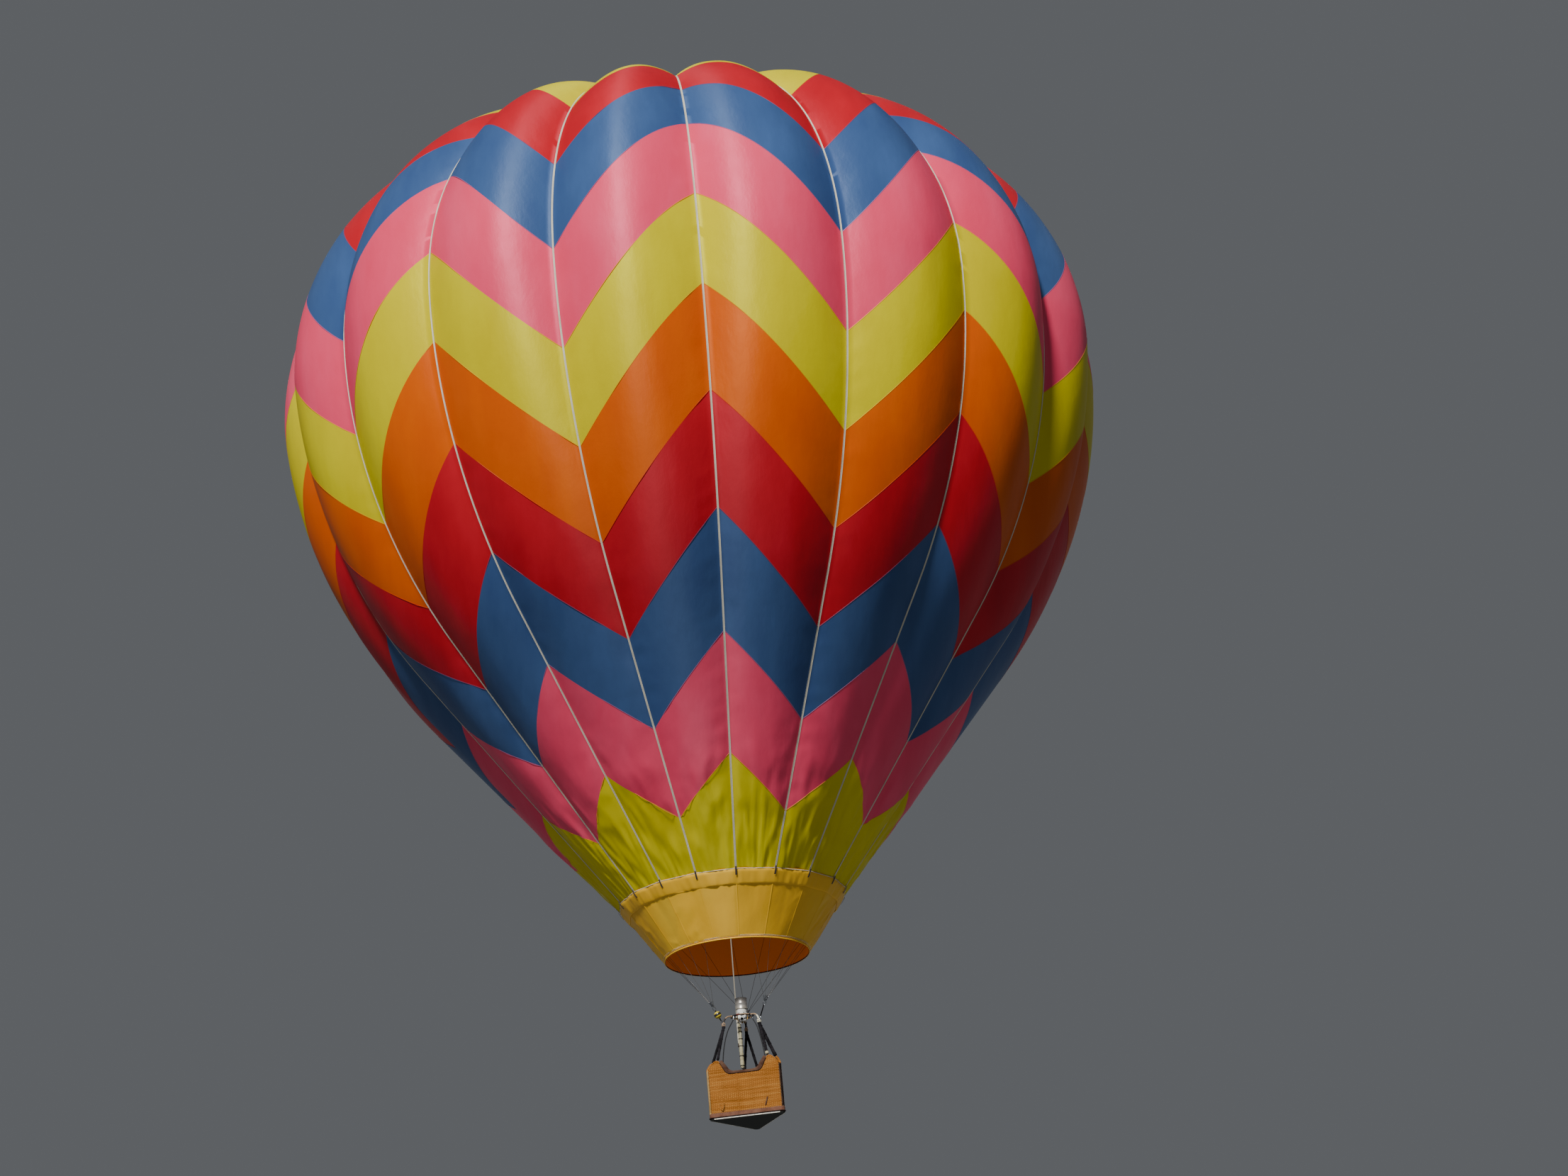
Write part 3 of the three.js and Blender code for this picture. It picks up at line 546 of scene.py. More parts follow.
def ribbon(path, across, width, thickness):
    """A flat strap along a path. Across is the direction of its width."""
    path = np.asarray(path, float)
    across = np.broadcast_to(np.asarray(across, float), path.shape)
    out = np.cross(np.gradient(path, axis=0), across)
    out /= np.linalg.norm(out, axis=1)[:, None]
    corners = np.array([(-0.5, 0), (-0.44, 1), (0.44, 1), (0.5, 0)])
    points = np.stack([path + across * width * w + out * thickness * t for w, t in corners], 1)
    place = laid(points, corners[:, 0] * width, travelled(path)[:, None])
    return capped(grid(points, wrap_columns=True, place=place), len(corners))


def lathe(profile, segments=48):
    """A profile of (radius, height) turned about Z. It is closed where its ends lie on the axis."""
    radius, height = np.asarray(profile, float).T[..., None]
    turn = circle(segments)
    points = np.stack(np.broadcast_arrays(radius * np.cos(turn), radius * np.sin(turn), height), -1)
    place = laid(points, turn * radius, travelled(profile)[:, None])
    return grid(points, wrap_columns=True, place=place, flip=True)


def block(size, bevel=0.004, steps=2):
    """A box round the origin with rounded edges."""
    made = bmesh.new()
    bmesh.ops.create_cube(made, size=1.0)
    bmesh.ops.scale(made, vec=Vector(size), verts=made.verts)
    bmesh.ops.bevel(made, geom=made.edges, offset=bevel, segments=steps, affect="EDGES", profile=0.5)
    made.verts.ensure_lookup_table()
    shape = Shape([v.co[:] for v in made.verts], [[v.index for v in f.verts] for f in made.faces])
    made.free()
    return shape


def bolt(radius, height, place, toward):
    """A hexagon head on a washer, standing on a place and pointing towards another."""
    washer = lathe([(0, 0), (radius * 1.5, 0), (radius * 1.5, height * 0.25), (0, height * 0.25)], 16)
    head = lathe([(0, height * 0.2), (radius, height * 0.2), (radius, height * 0.85), (radius * 0.8, height),
                  (0, height)], 6)
    return [washer.along(place, toward), head.along(place, toward)]


def strip(points_at, profile, wrap=False):
    """A raised strip: points_at gives its points for each (offset, lift) of the profile across it."""
    return grid([points_at(offset, lift) for offset, lift in profile], wrap_columns=wrap)


def piece(name, parts, slot, body="balloon", replaces=(), crease=35, at=((0, 0, 0),)):
    """One object of (shape or shapes, material) pairs, moved and turned by at, that rides on a body."""
    points, faces, places, materials, indices = [], [], [], [], []
    count = 0
    for shapes, material in parts:
        if material not in materials:
            materials.append(material)
        for shape in shapes if isinstance(shapes, list) else [shapes]:
            shape = shape.at(*at)
            points.append(shape.points)
            places.append(shape.place)
            faces += [[i + count for i in face] for face in shape.faces]
            indices += [materials.index(material)] * len(shape.faces)
            count += len(shape.points)
    mesh = bpy.data.meshes.new(name)
    mesh.from_pydata(np.concatenate(points).tolist(), [], faces)
    for material in materials:
        mesh.materials.append(material)
    mesh.polygons.foreach_set("material_index", indices)
    attribute = mesh.attributes.new("place", "FLOAT_VECTOR", "POINT")
    attribute.data.foreach_set("vector", np.concatenate(places).astype(np.float32).ravel())
    tidied = bmesh.new()
    tidied.from_mesh(mesh)
    bmesh.ops.remove_doubles(tidied, verts=tidied.verts, dist=1e-6)
    tidied.to_mesh(mesh)
    tidied.free()
    mesh.shade_smooth()
    mesh.set_sharp_from_angle(angle=math.radians(crease))
    made = bpy.data.objects.new(name, mesh)
    bpy.context.scene.collection.objects.link(made)
    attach(made, body)
    if replaces:
        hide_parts(*replaces)
    return made


def noise(x, y, seed):
    """Smooth noise from -1 to 1 over a plane, with about one bump to a unit."""
    x, y = np.broadcast_arrays(np.asarray(x, float), np.asarray(y, float))
    size = 128
    table = np.random.default_rng(seed).uniform(-1, 1, (size, size))
    xi, yi = np.floor(x).astype(int), np.floor(y).astype(int)
    fx, fy = x - xi, y - yi
    fx, fy = fx * fx * (3 - 2 * fx), fy * fy * (3 - 2 * fy)

    def corner(i, j):
        return table[(xi + i) % size, (yi + j) % size]

    low = corner(0, 0) * (1 - fx) + corner(1, 0) * fx
    high = corner(0, 1) * (1 - fx) + corner(1, 1) * fx
    return low * (1 - fy) + high * fy


def eased(value, start, end):
    """0 before start, 1 after end, smooth between."""
    t = np.clip((value - start) / (end - start), 0, 1)
    return t * t * (3 - 2 * t)


def sideways(azimuth):
    """The level direction at right angles to an azimuth."""
    return around(1, azimuth + math.pi / 2, 0)


# Envelope: the meridian that the tapes follow, then points of the cloth between them
def make_meridian():
    angle = np.linspace(0, math.pi / 2, 401)
    crown = np.stack([TAPE_RADIUS * np.sin(angle), EQUATOR_Z + CROWN_RISE * np.cos(angle)], 1)
    angle = np.linspace(0, CONE_ANGLE, 201)[1:]
    arc = np.stack([TAPE_RADIUS - LOWER_ARC_RADIUS * (1 - np.cos(angle)),
                    EQUATOR_Z - LOWER_ARC_RADIUS * np.sin(angle)], 1)
    z = np.linspace(arc[-1, 1], MOUTH_Z, 101)[1:]
    cone = np.stack([arc[-1, 0] - (arc[-1, 1] - z) * math.tan(CONE_ANGLE), z], 1)
    outline = np.concatenate([crown, arc, cone])
    return travelled(outline), outline


MERIDIAN_LENGTH, MERIDIAN = make_meridian()
MERIDIAN_SLOPE = np.gradient(MERIDIAN, MERIDIAN_LENGTH, axis=0)
MOUTH_LENGTH = float(MERIDIAN_LENGTH[-1])
MOUTH_RADIUS = float(MERIDIAN[-1, 0])


def meridian_at(length):
    """Radius, height and outward normal at a length from the middle of the crown."""
    read = [np.interp(length, MERIDIAN_LENGTH, column)
            for column in (MERIDIAN[:, 0], MERIDIAN[:, 1], MERIDIAN_SLOPE[:, 0], MERIDIAN_SLOPE[:, 1])]
    return read[0], read[1], -read[3], read[2]


def length_at(z):
    return float(np.interp(-z, -MERIDIAN[:, 1], MERIDIAN_LENGTH))


def fullness_at(z):
    heights, shares = zip(*reversed(LOBE_FULLNESS))
    return np.interp(z, heights, shares)


def tape_azimuth(tape):
    return FIRST_TAPE_AZIMUTH + 2 * HALF_GORE * tape


def cloth_points(turn, length, proud=0.0):
    """Points of the cloth. A turn counts gores from the first tape; proud is how far out of the cloth."""
    turn, length, proud = np.broadcast_arrays(turn, length, proud)
    tape = np.floor(turn + 1e-9)
    u = 2 * (turn - tape) - 1
    r, z, out_r, out_z = meridian_at(length)
    half_width = r * math.sin(HALF_GORE)
    out = fullness_at(z) * half_width * (1 - u * u) + proud
    middle = tape_azimuth(tape) + HALF_GORE
    reach = r * math.cos(HALF_GORE) + out * out_r
    return np.stack([reach * np.sin(middle) + half_width * u * np.cos(middle),
                     -reach * np.cos(middle) + half_width * u * np.sin(middle),
                     z + out * out_z], -1)


def wrinkles(turn, length):
    """How far the cloth's puckers and folds stand out at a place."""
    r = meridian_at(length)[0]
    across = np.mod(turn, 1)
    width = 2 * r * math.sin(HALF_GORE)
    from_tape = np.minimum(across, 1 - across) * width
    tape_side = np.round(turn) * 2 + (across < 0.5)
    free = 1 - np.exp(-((from_tape / 0.07) ** 2))
    pucker = 0.010 * np.exp(-((from_tape / 0.3) ** 2)) * noise(tape_side * 9.7, length / 0.2, 1)
    sway = 0.006 * noise(turn * 4.3, length / 2.4, 2) + 0.003 * noise(turn * 9.1, length / 1.1, 3)
    low = eased(length, length_at(-6.6), length_at(-9.2))
    slant = (across - 0.5) * (length - MOUTH_LENGTH) * 1.6
    folds = 0.6 - np.abs(noise(turn * 8.0 + slant, length / 0.9, 4))
    fine = noise(turn * 17.0 + 2 * slant, length / 0.45, 5)
    gathers = low * np.minimum(width, 1.2) * (0.042 * folds + 0.016 * fine)
    return free * (pucker + sway + gathers)


# Bands from the top down: number and colour, then the top edge's height at even and at odd tapes
VENT_EDGE_Z = EQUATOR_Z + CROWN_RISE * math.sqrt(1 - (VENT_RADIUS / TAPE_RADIUS) ** 2)
BANDS = [
    ("01_yellow", VENT_EDGE_Z, VENT_EDGE_Z),
    ("02_red", 6.63, 5.37),
    ("03_blue", 5.49, 3.46),
    ("04_pink", 4.14, 1.41),
    ("05_yellow", 2.24, -0.63),
    ("06_orange", 0.29, -2.49),
    ("07_red", -1.76, -4.17),
    ("08_blue", -3.81, -5.76),
    ("09_pink", -5.8, -7.25),
    ("10_yellow", -7.77, -8.75),
    ("mouth", MOUTH_Z, MOUTH_Z),
]
# Cloth colours: the colour itself, in its darker patches, in its lighter ones
CLOTH_COLOURS = {
    "yellow": (0xDBCB00, 0xD2C000, 0xE4D600),
    "red": (0xC41928, 0xB81424, 0xD02030),
    "blue": (0x3E5A88, 0x365080, 0x466496),
    "pink": (0xFA4C6E, 0xF24264, 0xFF5A7A),
    "orange": (0xE15E00, 0xD85600, 0xEA6800),
}


def edge_length(edge, turn):
    """The length along the meridian of a band's top edge, which runs in zigzags from tape to tape."""
    _, even_z, odd_z = edge
    even, odd = length_at(even_z), length_at(odd_z)
    swing = np.abs(np.mod(turn, 2) - 1)
    return odd + swing * (even - odd)


def colour_word(band):
    return band[0].split("_")[1]


def band_half(top, bottom, side, first, finish):
    """Half of a band's gores as one sheet of cloth, from the given tape."""
    turn = np.linspace(first, first + GORES // 2, GORES // 2 * COLUMNS_PER_GORE + 1)
    start, end = edge_length(top, turn), edge_length(bottom, turn)
    rows = math.ceil(float((end - start).max()) / ROW_LENGTH)
    length = start + np.linspace(0, 1, rows + 1)[:, None] * (end - start)
    points = cloth_points(turn, length, wrinkles(turn, length))
    place = laid(points, turn * 2 * HALF_GORE * meridian_at(length)[0], length)
    made = piece(f"cloth_{top[0]}_{side}", [(grid(points, place=place), finish)], crease=60,
                 slot=f"{colour_word(top)}_cloth", replaces=["band_" + top[0]])
    smooth = cloth_points(turn, length)


def zigzag_seam(edge, finish):
    """The felled seam between two bands, a raised strip along their shared edge."""
    turn = all_round(COLUMNS_PER_GORE)
    middle = edge_length(edge, turn)

    def points_at(offset, lift):
        length = middle + offset * SEAM_HALF_WIDTH
        return cloth_points(turn, length, wrinkles(turn, length) + lift)

    seam = strip(points_at, [(-1, 0.001), (-0.6, 0.004), (0.6, 0.004), (1, 0.001)], wrap=True)
    piece(f"seam_over_{edge[0]}", [(seam, finish)], slot="webbing")


def make_envelope():
    cloths = {word: cloth_finish(word + "_cloth", *tones) for word, tones in CLOTH_COLOURS.items()}
    for top, bottom in zip(BANDS, BANDS[1:]):
        for side, first in (("near", FIRST_NEAR_TAPE), ("far", FIRST_NEAR_TAPE + GORES // 2)):
            band_half(top, bottom, side, first, cloths[colour_word(top)])
    for upper, edge in zip(BANDS, BANDS[1:-1]):
        light_tones = [CLOTH_COLOURS[colour_word(band)][2] for band in (upper, edge)]
        colour = mixed(*light_tones, 0.5)
        finish = cloth_finish(f"seam_{edge[0]}", colour, mixed(colour, 0, 0.1), mixed(colour, 0xFFFFFF, 0.1))
        zigzag_seam(edge, finish)
    return cloths


# Load tapes: a woven tape lies in each crease, and its top end loops round the crown ring
def crease_slope(z):
    """How steeply the cloth rises away from a tape."""
    return 2 * fullness_at(z) * math.cos(HALF_GORE) - math.sin(HALF_GORE)


def load_tape(tape):
    azimuth = tape_azimuth(tape)
    length = np.linspace(CROWN_RING_RADIUS, MOUTH_LENGTH - 0.001, 100)
    r, z, out_r, out_z = meridian_at(length)
    middle, out = around(r, azimuth, z), around(out_r, azimuth, out_z)
    slope = np.maximum(crease_slope(z), 0.05) * eased(length, 1.2, 2.2)
    across = np.array([-0.5, -0.25, 0, 0.25, 0.5]) * TAPE_WIDTH
    section = [(x, TAPE_LIFT + TAPE_THICKNESS) for x in across] + [(x, TAPE_LIFT) for x in across[::-1]]
    points = np.stack([middle + sideways(azimuth) * x + out * (slope * math.hypot(x, 0.005) + lift)[:, None]
                       for x, lift in section], 1)
    place = laid(points, [x for x, _ in section], length[:, None])
    return capped(grid(points, wrap_columns=True, place=place), len(section))


def crown_loop(tape):
    """The end of a tape, turned round the crown ring."""
    azimuth = tape_azimuth(tape)
    turn = np.linspace(0, 2 * math.pi, 21)
    off = CROWN_RING_TUBE + 0.002
    path = around(CROWN_RING_RADIUS + off * np.sin(turn), azimuth, CROWN_RING_Z + off * np.cos(turn))
    return ribbon(path, sideways(azimuth), TAPE_WIDTH * 0.9, TAPE_THICKNESS)


def make_tapes():
    webbing = webbing_finish("webbing", 0xDCD6C0, 0xF2ECDA, 0xBDB59C)
    steel = metal_finish("crown_steel", 0xB9BCC0, 0x8C9094, 0.28)
    tapes = [make(tape) for make in (load_tape, crown_loop) for tape in range(GORES)]
    piece("tapes", [(tapes, webbing)], slot="webbing", replaces=["load_tapes"])
    crown_ring = ring(CROWN_RING_RADIUS, CROWN_RING_TUBE, CROWN_RING_Z)
    piece("crown_ring", [(crown_ring, steel)], slot="bright_steel", replaces=["load_tapes"])
    turn = all_round(16)
    edge = edge_length(BANDS[0], turn)
    rim = strip(lambda down, lift: cloth_points(turn, edge + down, lift),
                [(0.0, 0.001), (0.003, 0.006), (0.03, 0.006), (0.036, 0.001)], wrap=True)
    piece("vent_rim_tape", [(rim, webbing)], slot="webbing")
    return webbing


# Parachute vent: panels under the hole in the crown, shroud lines and a pull line
def vent_points(azimuth, length, lift=0.0):
    r, z, out_r, out_z = meridian_at(np.maximum(length, 0.001))
    ripple = 0.004 * np.cos(azimuth * GORES) * eased(length, 0.6, 2.0)
    out = lift + ripple - VENT_INSET
    return around(np.maximum(r + out * out_r, 0), azimuth, z + out * out_z)


def make_vent(cloth, webbing):
    reach = length_at(VENT_EDGE_Z) + VENT_OVERLAP
    azimuth, length = np.meshgrid(circle(144), np.linspace(0, reach, 25))
    points = vent_points(azimuth, length)
    dome = grid(points, wrap_columns=True, place=laid(points, azimuth * length, length))
    vent = piece("vent_cloth", [(dome, cloth)], body="vent", slot="yellow_cloth",
                 replaces=["parachute_vent"])
    span = np.linspace(0.12, reach - 0.01, 24)
    seams = [strip(lambda side, lift: vent_points(middle + side / span, span, lift),
                   [(-0.012, 0.0005), (-0.009, 0.003), (0.009, 0.003), (0.012, 0.0005)])
             for middle in circle(VENT_PANELS)]
    hem = strip(lambda down, lift: vent_points(azimuth[0], reach + down, lift),
                [(-0.03, 0.0005), (-0.028, 0.004), (0.0, 0.004), (0.002, -0.004), (-0.03, -0.004)],
                wrap=True)
    patch = lathe([(0, 0.006), (0.11, 0.006), (0.12, 0)], 36).at((0, 0, vent_points(0.0, 0.01)[2]))
    piece("vent_seams", [([*seams, hem, patch], webbing)], body="vent", slot="webbing")


def make_vent_lines():
    # The rope's glow is painted light, for sunlight through the cloth.
    rope = braid_finish("vent_rope", 0xEFE6CE, 0x9C9482, 0.03, roughness=0.7, painted_glow=ROPE_PAINTED_GLOW)
    wood = plain_finish("toggle", 0x3A2418, 0x2A1810, 0.5)
    steel = metal_finish("ring_steel", 0xA8ACB0, 0x7A7E82, 0.3)
    meeting = Vector((0, 0, SHROUD_MEET_Z))
    r, z, _, _ = meridian_at(length_at(VENT_EDGE_Z) + VENT_OVERLAP - 0.06)
    ropes = [rod(meeting, PULL_LINE_END, PULL_LINE_RADIUS, 10, 80)]
    rings = [ring(0.03, 0.005).at(meeting, 0.4, math.pi / 2)]
    for tape in range(0, GORES, SHROUD_EVERY):
        azimuth = tape_azimuth(tape)
        ropes.append(rod(meeting, polar(r, azimuth, z - 0.05), 0.004, 8, 24))
        rings.append(ring(0.02, 0.004, 0, 20, 8).at(polar(r, azimuth, z - 0.038), azimuth, math.pi / 2))
    knot = lathe([(0, -0.032), (0.018, -0.026), (0.028, -0.008), (0.03, 0.01), (0.02, 0.026),
                  (0, 0.034)], 20)
    toggle = lathe([(0, -0.06), (0.014, -0.058), (0.019, -0.045), (0.015, -0.018), (0.019, 0.012),
                    (0.013, 0.024), (0, 0.026)], 20)
    ropes.append(knot.at(meeting))
    piece("vent_ropes", [(ropes, rope), (rings, steel), (toggle.at(PULL_LINE_END), wood)], body="vent",
          slot="webbing", replaces=["vent_lines"])


# Skirt
SKIRT_SLOPE = (MOUTH_RADIUS - SKIRT_BOTTOM_RADIUS) / (MOUTH_Z - SKIRT_BOTTOM_Z)
SKIRT_LENGTH = math.hypot(MOUTH_RADIUS - SKIRT_BOTTOM_RADIUS, MOUTH_Z - SKIRT_BOTTOM_Z)


def skirt_points(turn, share, proud=0.0):
    """Points of the skirt's cone. A turn counts gores, and share goes from its top to its bottom."""
    across = np.abs(np.mod(turn, 1) - 0.5) * 2
    top = MOUTH_RADIUS * (math.cos(HALF_GORE) + (1 - math.cos(HALF_GORE)) * across)
    tilt = math.atan(SKIRT_SLOPE)
    reach = top + share * (SKIRT_BOTTOM_RADIUS - top) + proud * math.cos(tilt)
    z = MOUTH_Z - 0.001 + share * (SKIRT_BOTTOM_Z - MOUTH_Z) - proud * math.sin(tilt)
    return around(reach, tape_azimuth(turn), z)


def skirt_relief(turn, share):
    """Puckers under the top band, slanting creases and slack towards the hem."""
    gathers = 0.007 * noise(turn * 11, share * 2, 21) * (1 - eased(share, 0.15, 0.45))
    slack = 0.010 * noise(turn * 1.9 + share, share * 2.2, 22) * eased(share, 0.15, 0.5)
    creases = 0.5 - np.abs(noise(turn * 4.0 + share * 5.0, turn * 0.9 - share * 2.5, 23))
    patches = eased(noise(turn * 0.8, share * 1.7, 24), -0.1, 0.5)
    strength = eased(share, 0.2, 0.4) * (1 - 0.6 * eased(share, 0.8, 1))
    return gathers + slack + 0.024 * creases * patches * strength


def make_skirt_cloth(outer, inner):
    turn = all_round(18)
    turns, shares = np.meshgrid(turn, np.linspace(0, 1, 49))
    relief = skirt_relief(turns, shares) * (shares < 1)
    for name, proud, finish in (("skirt_outer", 0.0, outer), ("skirt_inner", -SKIRT_THICKNESS, inner)):
        points = skirt_points(turns, shares, relief + proud)
        shape = grid(points, wrap_columns=True, place=laid(points, turns * 0.6, shares * SKIRT_LENGTH))
        made = piece(name, [(shape, finish)], slot="skirt_cloth", replaces=["skirt"], crease=60)
    turns, shares = np.meshgrid(turn, [share for share, _ in SKIRT_FOLD])
    stand = np.array([[stand] for _, stand in SKIRT_FOLD])
    puckers = 0.010 * noise(turns * 14, shares * 6, 25) + 0.006 * noise(turns * 5, shares * 3, 26)
    fold = grid(skirt_points(turns, shares, stand + puckers * (stand > 0.01)), wrap_columns=True)
    band = piece("skirt_band", [(fold, outer)], slot="skirt_cloth", replaces=["skirt_top_band"], crease=60)


def make_hem(outer, hem_shade):
    turn = all_round(18)
    bottom = skirt_points(turn, 1.0, -0.004) - np.array([0, 0, 0.015])
    hem = tube(bottom, HEM_RADIUS + 0.0015 * noise(turn * 12, 0.3, 28), HEM_SIDES, closed=True)
    parts = []
    # The sides that look inwards take the dark finish, painted shade.
    for finish, is_inner in ((outer, False), (hem_shade, True)):
        faces = [face for number, face in enumerate(hem.faces)
                 if (number % HEM_SIDES in HEM_INNER_SIDES) == is_inner]
        parts.append((Shape(hem.points, faces, hem.place), finish))
    piece("skirt_hem_roll", parts, slot="skirt_cloth", replaces=["skirt_hem"])


def make_skirt():
    outer = cloth_finish("skirt_cloth", 0xFFC42E, 0xF4B626, 0xFFD040)
    # The skirt's inside is the same cloth as its outside, painted darker and redder: painted shade, with a
    # painted glow for sunlight through the cloth.
    inner = cloth_finish("skirt_inside_painted_shade", 0xC86414, 0xB4540C, 0xD8741E, painted_glow=LINING_PAINTED_GLOW)
    # Painted shade for the inner sides of the hem roll.
    hem_shade = braid_finish("hem_painted_shade", 0x2C2A34, 0x1C1A22, 0.02, roughness=0.8)
    cream = braid_finish("skirt_cord", 0xE6DCC0, 0xBFB28E, 0.02, roughness=0.7)
    dark = webbing_finish("dark_webbing", 0x3A3230, 0x5A504A, 0x2A2422)
    make_skirt_cloth(outer, inner)
    make_hem(outer, hem_shade)
    turn = all_round(18)
    top = skirt_points(turn, 0.012, 0.010 + 0.003 * noise(turn * 9, 0.5, 27))
    cords = [tube(top, 0.008, 8, closed=True)]
    cords += [tube(skirt_points(turn, share, 0.004), 0.003, 6, closed=True) for share in (0.972, 0.985)]
    piece("skirt_edge_cord", [(cords, cream)], slot="webbing")
    seams, ends = [], []
    run = np.linspace(0.24, 0.97, 40)
    end_share, end_stand = np.array(TAPE_END).T
    for tape in range(GORES):
        seams.append(strip(lambda side, lift: skirt_points(tape + side, run, skirt_relief(tape, run) + lift),
                           [(-0.02, 0.0015), (-0.014, 0.004), (0.014, 0.004), (0.02, 0.0015)]))
        ends.append(ribbon(skirt_points(tape, end_share, end_stand), sideways(tape_azimuth(tape)),
                           0.034, 0.004))
    piece("skirt_seams", [(seams, outer)], slot="skirt_cloth")
    piece("skirt_tabs", [(ends, dark)], slot="webbing")


# Suspension: cables with their eyes and clips, and a sleeved link down to each bracket
CORNERS = [(name, NEAR_SIDE_AZIMUTH + math.radians(turn))
           for name, turn in (("right", 60), ("far", 180), ("left", 300))]
SIDES = [(name, NEAR_SIDE_AZIMUTH + math.radians(turn))
         for name, turn in (("near", 0), ("right", 120), ("left", 240))]


def link_ends(azimuth):
    low = polar(LINK_LOW_REACH, azimuth, over_floor(LINK_LOW_HEIGHT))
    high = polar(MEET_REACH, azimuth, over_floor(MEET_HEIGHT))
    return low, high


def oval_clip(start, end, width, bar):
    """A closed oval clip between two points."""
    turn = circle(28)
    path = np.stack([width * np.cos(turn), 0 * turn, (end - start).length / 2 * np.sin(turn)], -1)
    return tube(path, bar, 8, closed=True).along((start + end) / 2, end)


def make_suspension(name, azimuth, cable, sleeve, steel):
    low, high = link_ends(azimuth)
    ferrule = lathe([(0, 0), (0.0075, 0.003), (0.0085, 0.012), (0.0085, 0.045), (0.006, 0.055),
                     (0, 0.055)], 12)
    r, z, out_r, out_z = meridian_at(MOUTH_LENGTH - CABLE_END)
    cables, fittings = [], []
    for tape in range(GORES):
        if abs(math.remainder(tape_azimuth(tape) - azimuth, 2 * math.pi)) > math.pi / 3:
            continue
        top = polar(r - 0.02 * out_r, tape_azimuth(tape), z - 0.02 * out_z)
        upward = (top - high).normalized()
        near, far = high + upward * 0.09, top - upward * 0.07
        cables.append(rod(near, far, CABLE_RADIUS, 8, 20))
        fittings += [ferrule.along(near, top), ferrule.along(far, high), oval_clip(far, top, 0.012, 0.004),
                     oval_clip(high + upward * 0.012, near, 0.012, 0.004)]
    down = (low - high).normalized()
    fittings += [oval_clip(high + down * 0.07, high - down * 0.02, 0.028, 0.007),
                 oval_clip(low - down * 0.05, low + down * 0.015, 0.022, 0.008)]
    path = np.linspace(high + down * 0.06, low - down * 0.045, 24)
    link = tube(path, 0.0125 + 0.0015 * noise(np.arange(24) * 0.9, 0.5, 31), 14)
    piece(f"cables_{name}", [(cables, cable), (fittings, steel), (link, sleeve)], slot="steel_cable",
          replaces=[f"suspension_{name}"])


def make_ball():
    """The ball's stripes are rings round the link: a thin dark one and a wide dark one on yellow."""
    finish = Finish("ball_paint", 0xE2C62A, 0.35, Coat_Weight=0.3)
    low, high = link_ends(CORNERS[2][1])
    # Angles from the link's axis to the edges of the ball's hole, and the radius of the hole
    open_angle, hole = 0.26, 0.0175
    angle = np.linspace(open_angle, math.pi - open_angle, 33)
    profile = [(BALL_RADIUS * math.sin(a), -BALL_RADIUS * math.cos(a)) for a in angle]
    start = (hole, profile[0][1] + 0.001)
    profile = [start, *profile, (hole, profile[-1][1] - 0.001), (hole, 0), start]
    across = finish.node("SeparateXYZ", {"Vector": finish.piece_place()}).outputs["Y"]
    share = finish.node("MapRange", {"Value": across, "From Max": BALL_RADIUS * (math.pi - 2 * open_angle)})
    stripes = [(0.19, 0x000000), (0.20, 0xFFFFFF), (0.29, 0xFFFFFF), (0.30, 0x000000), (0.44, 0x000000),
               (0.45, 0xFFFFFF), (0.72, 0xFFFFFF), (0.73, 0x000000)]
    worn = finish.ramp(finish.noise(finish.object_place(), 30), [(0.3, 0xD0AE14), (0.6, 0xF0D428)])
    finish.paint(finish.blend(finish.ramp(share.outputs["Result"], stripes), worn, 0x2C2A28))
    finish.bumps((finish.noise(finish.object_place(), 90), 0.15, 0.001))
    ball = lathe(profile, 48).along(low.lerp(high, BALL_PLACE), high)
    piece("striped_ball", [(ball, finish.material)], slot="ball_paint", replaces=["marker_ball"])


# Load frame
def arm_path(azimuth):
    route = [(RING_RADIUS, RING_HEIGHT), (0.32, RING_HEIGHT - 0.015), (0.39, RING_HEIGHT - 0.08),
             (BRACKET_REACH, BRACKET_HEIGHT)]
    return smooth_path([polar(reach, azimuth, over_floor(height)) for reach, height in route], 24)


def frame_clamps():
    """What is clamped on the ring's tube: dark grips, the red one, and the bolts of the sleeve's clamp."""
    ring_z = over_floor(RING_HEIGHT)
    steps = around(RING_RADIUS, circle(RING_STEPS), ring_z)
    *grips, red = [tube(steps[start:end + 1], 0.016, 14) for start, end in (*GRIP_STEPS, RED_GRIP_STEPS)]
    clamp = polar(RING_RADIUS, SLEEVE_AZIMUTH, over_floor(SLEEVE_TOP + 0.021))
    grips.append(block((0.044, 0.044, 0.040), 0.005).at(clamp, SLEEVE_AZIMUTH))
    inwards = polar(-1, SLEEVE_AZIMUTH)
    bolts = bolt(0.008, 0.008, clamp + inwards * 0.021, clamp + inwards)
    bore = PIN_RADIUS + 0.0005
    pin_sleeve = lathe([(bore, -0.022), (0.019, -0.022), (0.021, -0.018), (0.021, 0.018), (0.019, 0.022),
                        (bore, 0.022)], 20)
    for azimuth in (NEAR_SIDE_AZIMUTH + math.pi / 2, NEAR_SIDE_AZIMUTH - math.pi / 2):
        centre = polar(RING_RADIUS, azimuth, ring_z)
        grips.append(pin_sleeve.along(centre, centre + polar(1, azimuth)))
    return grips, red, bolts


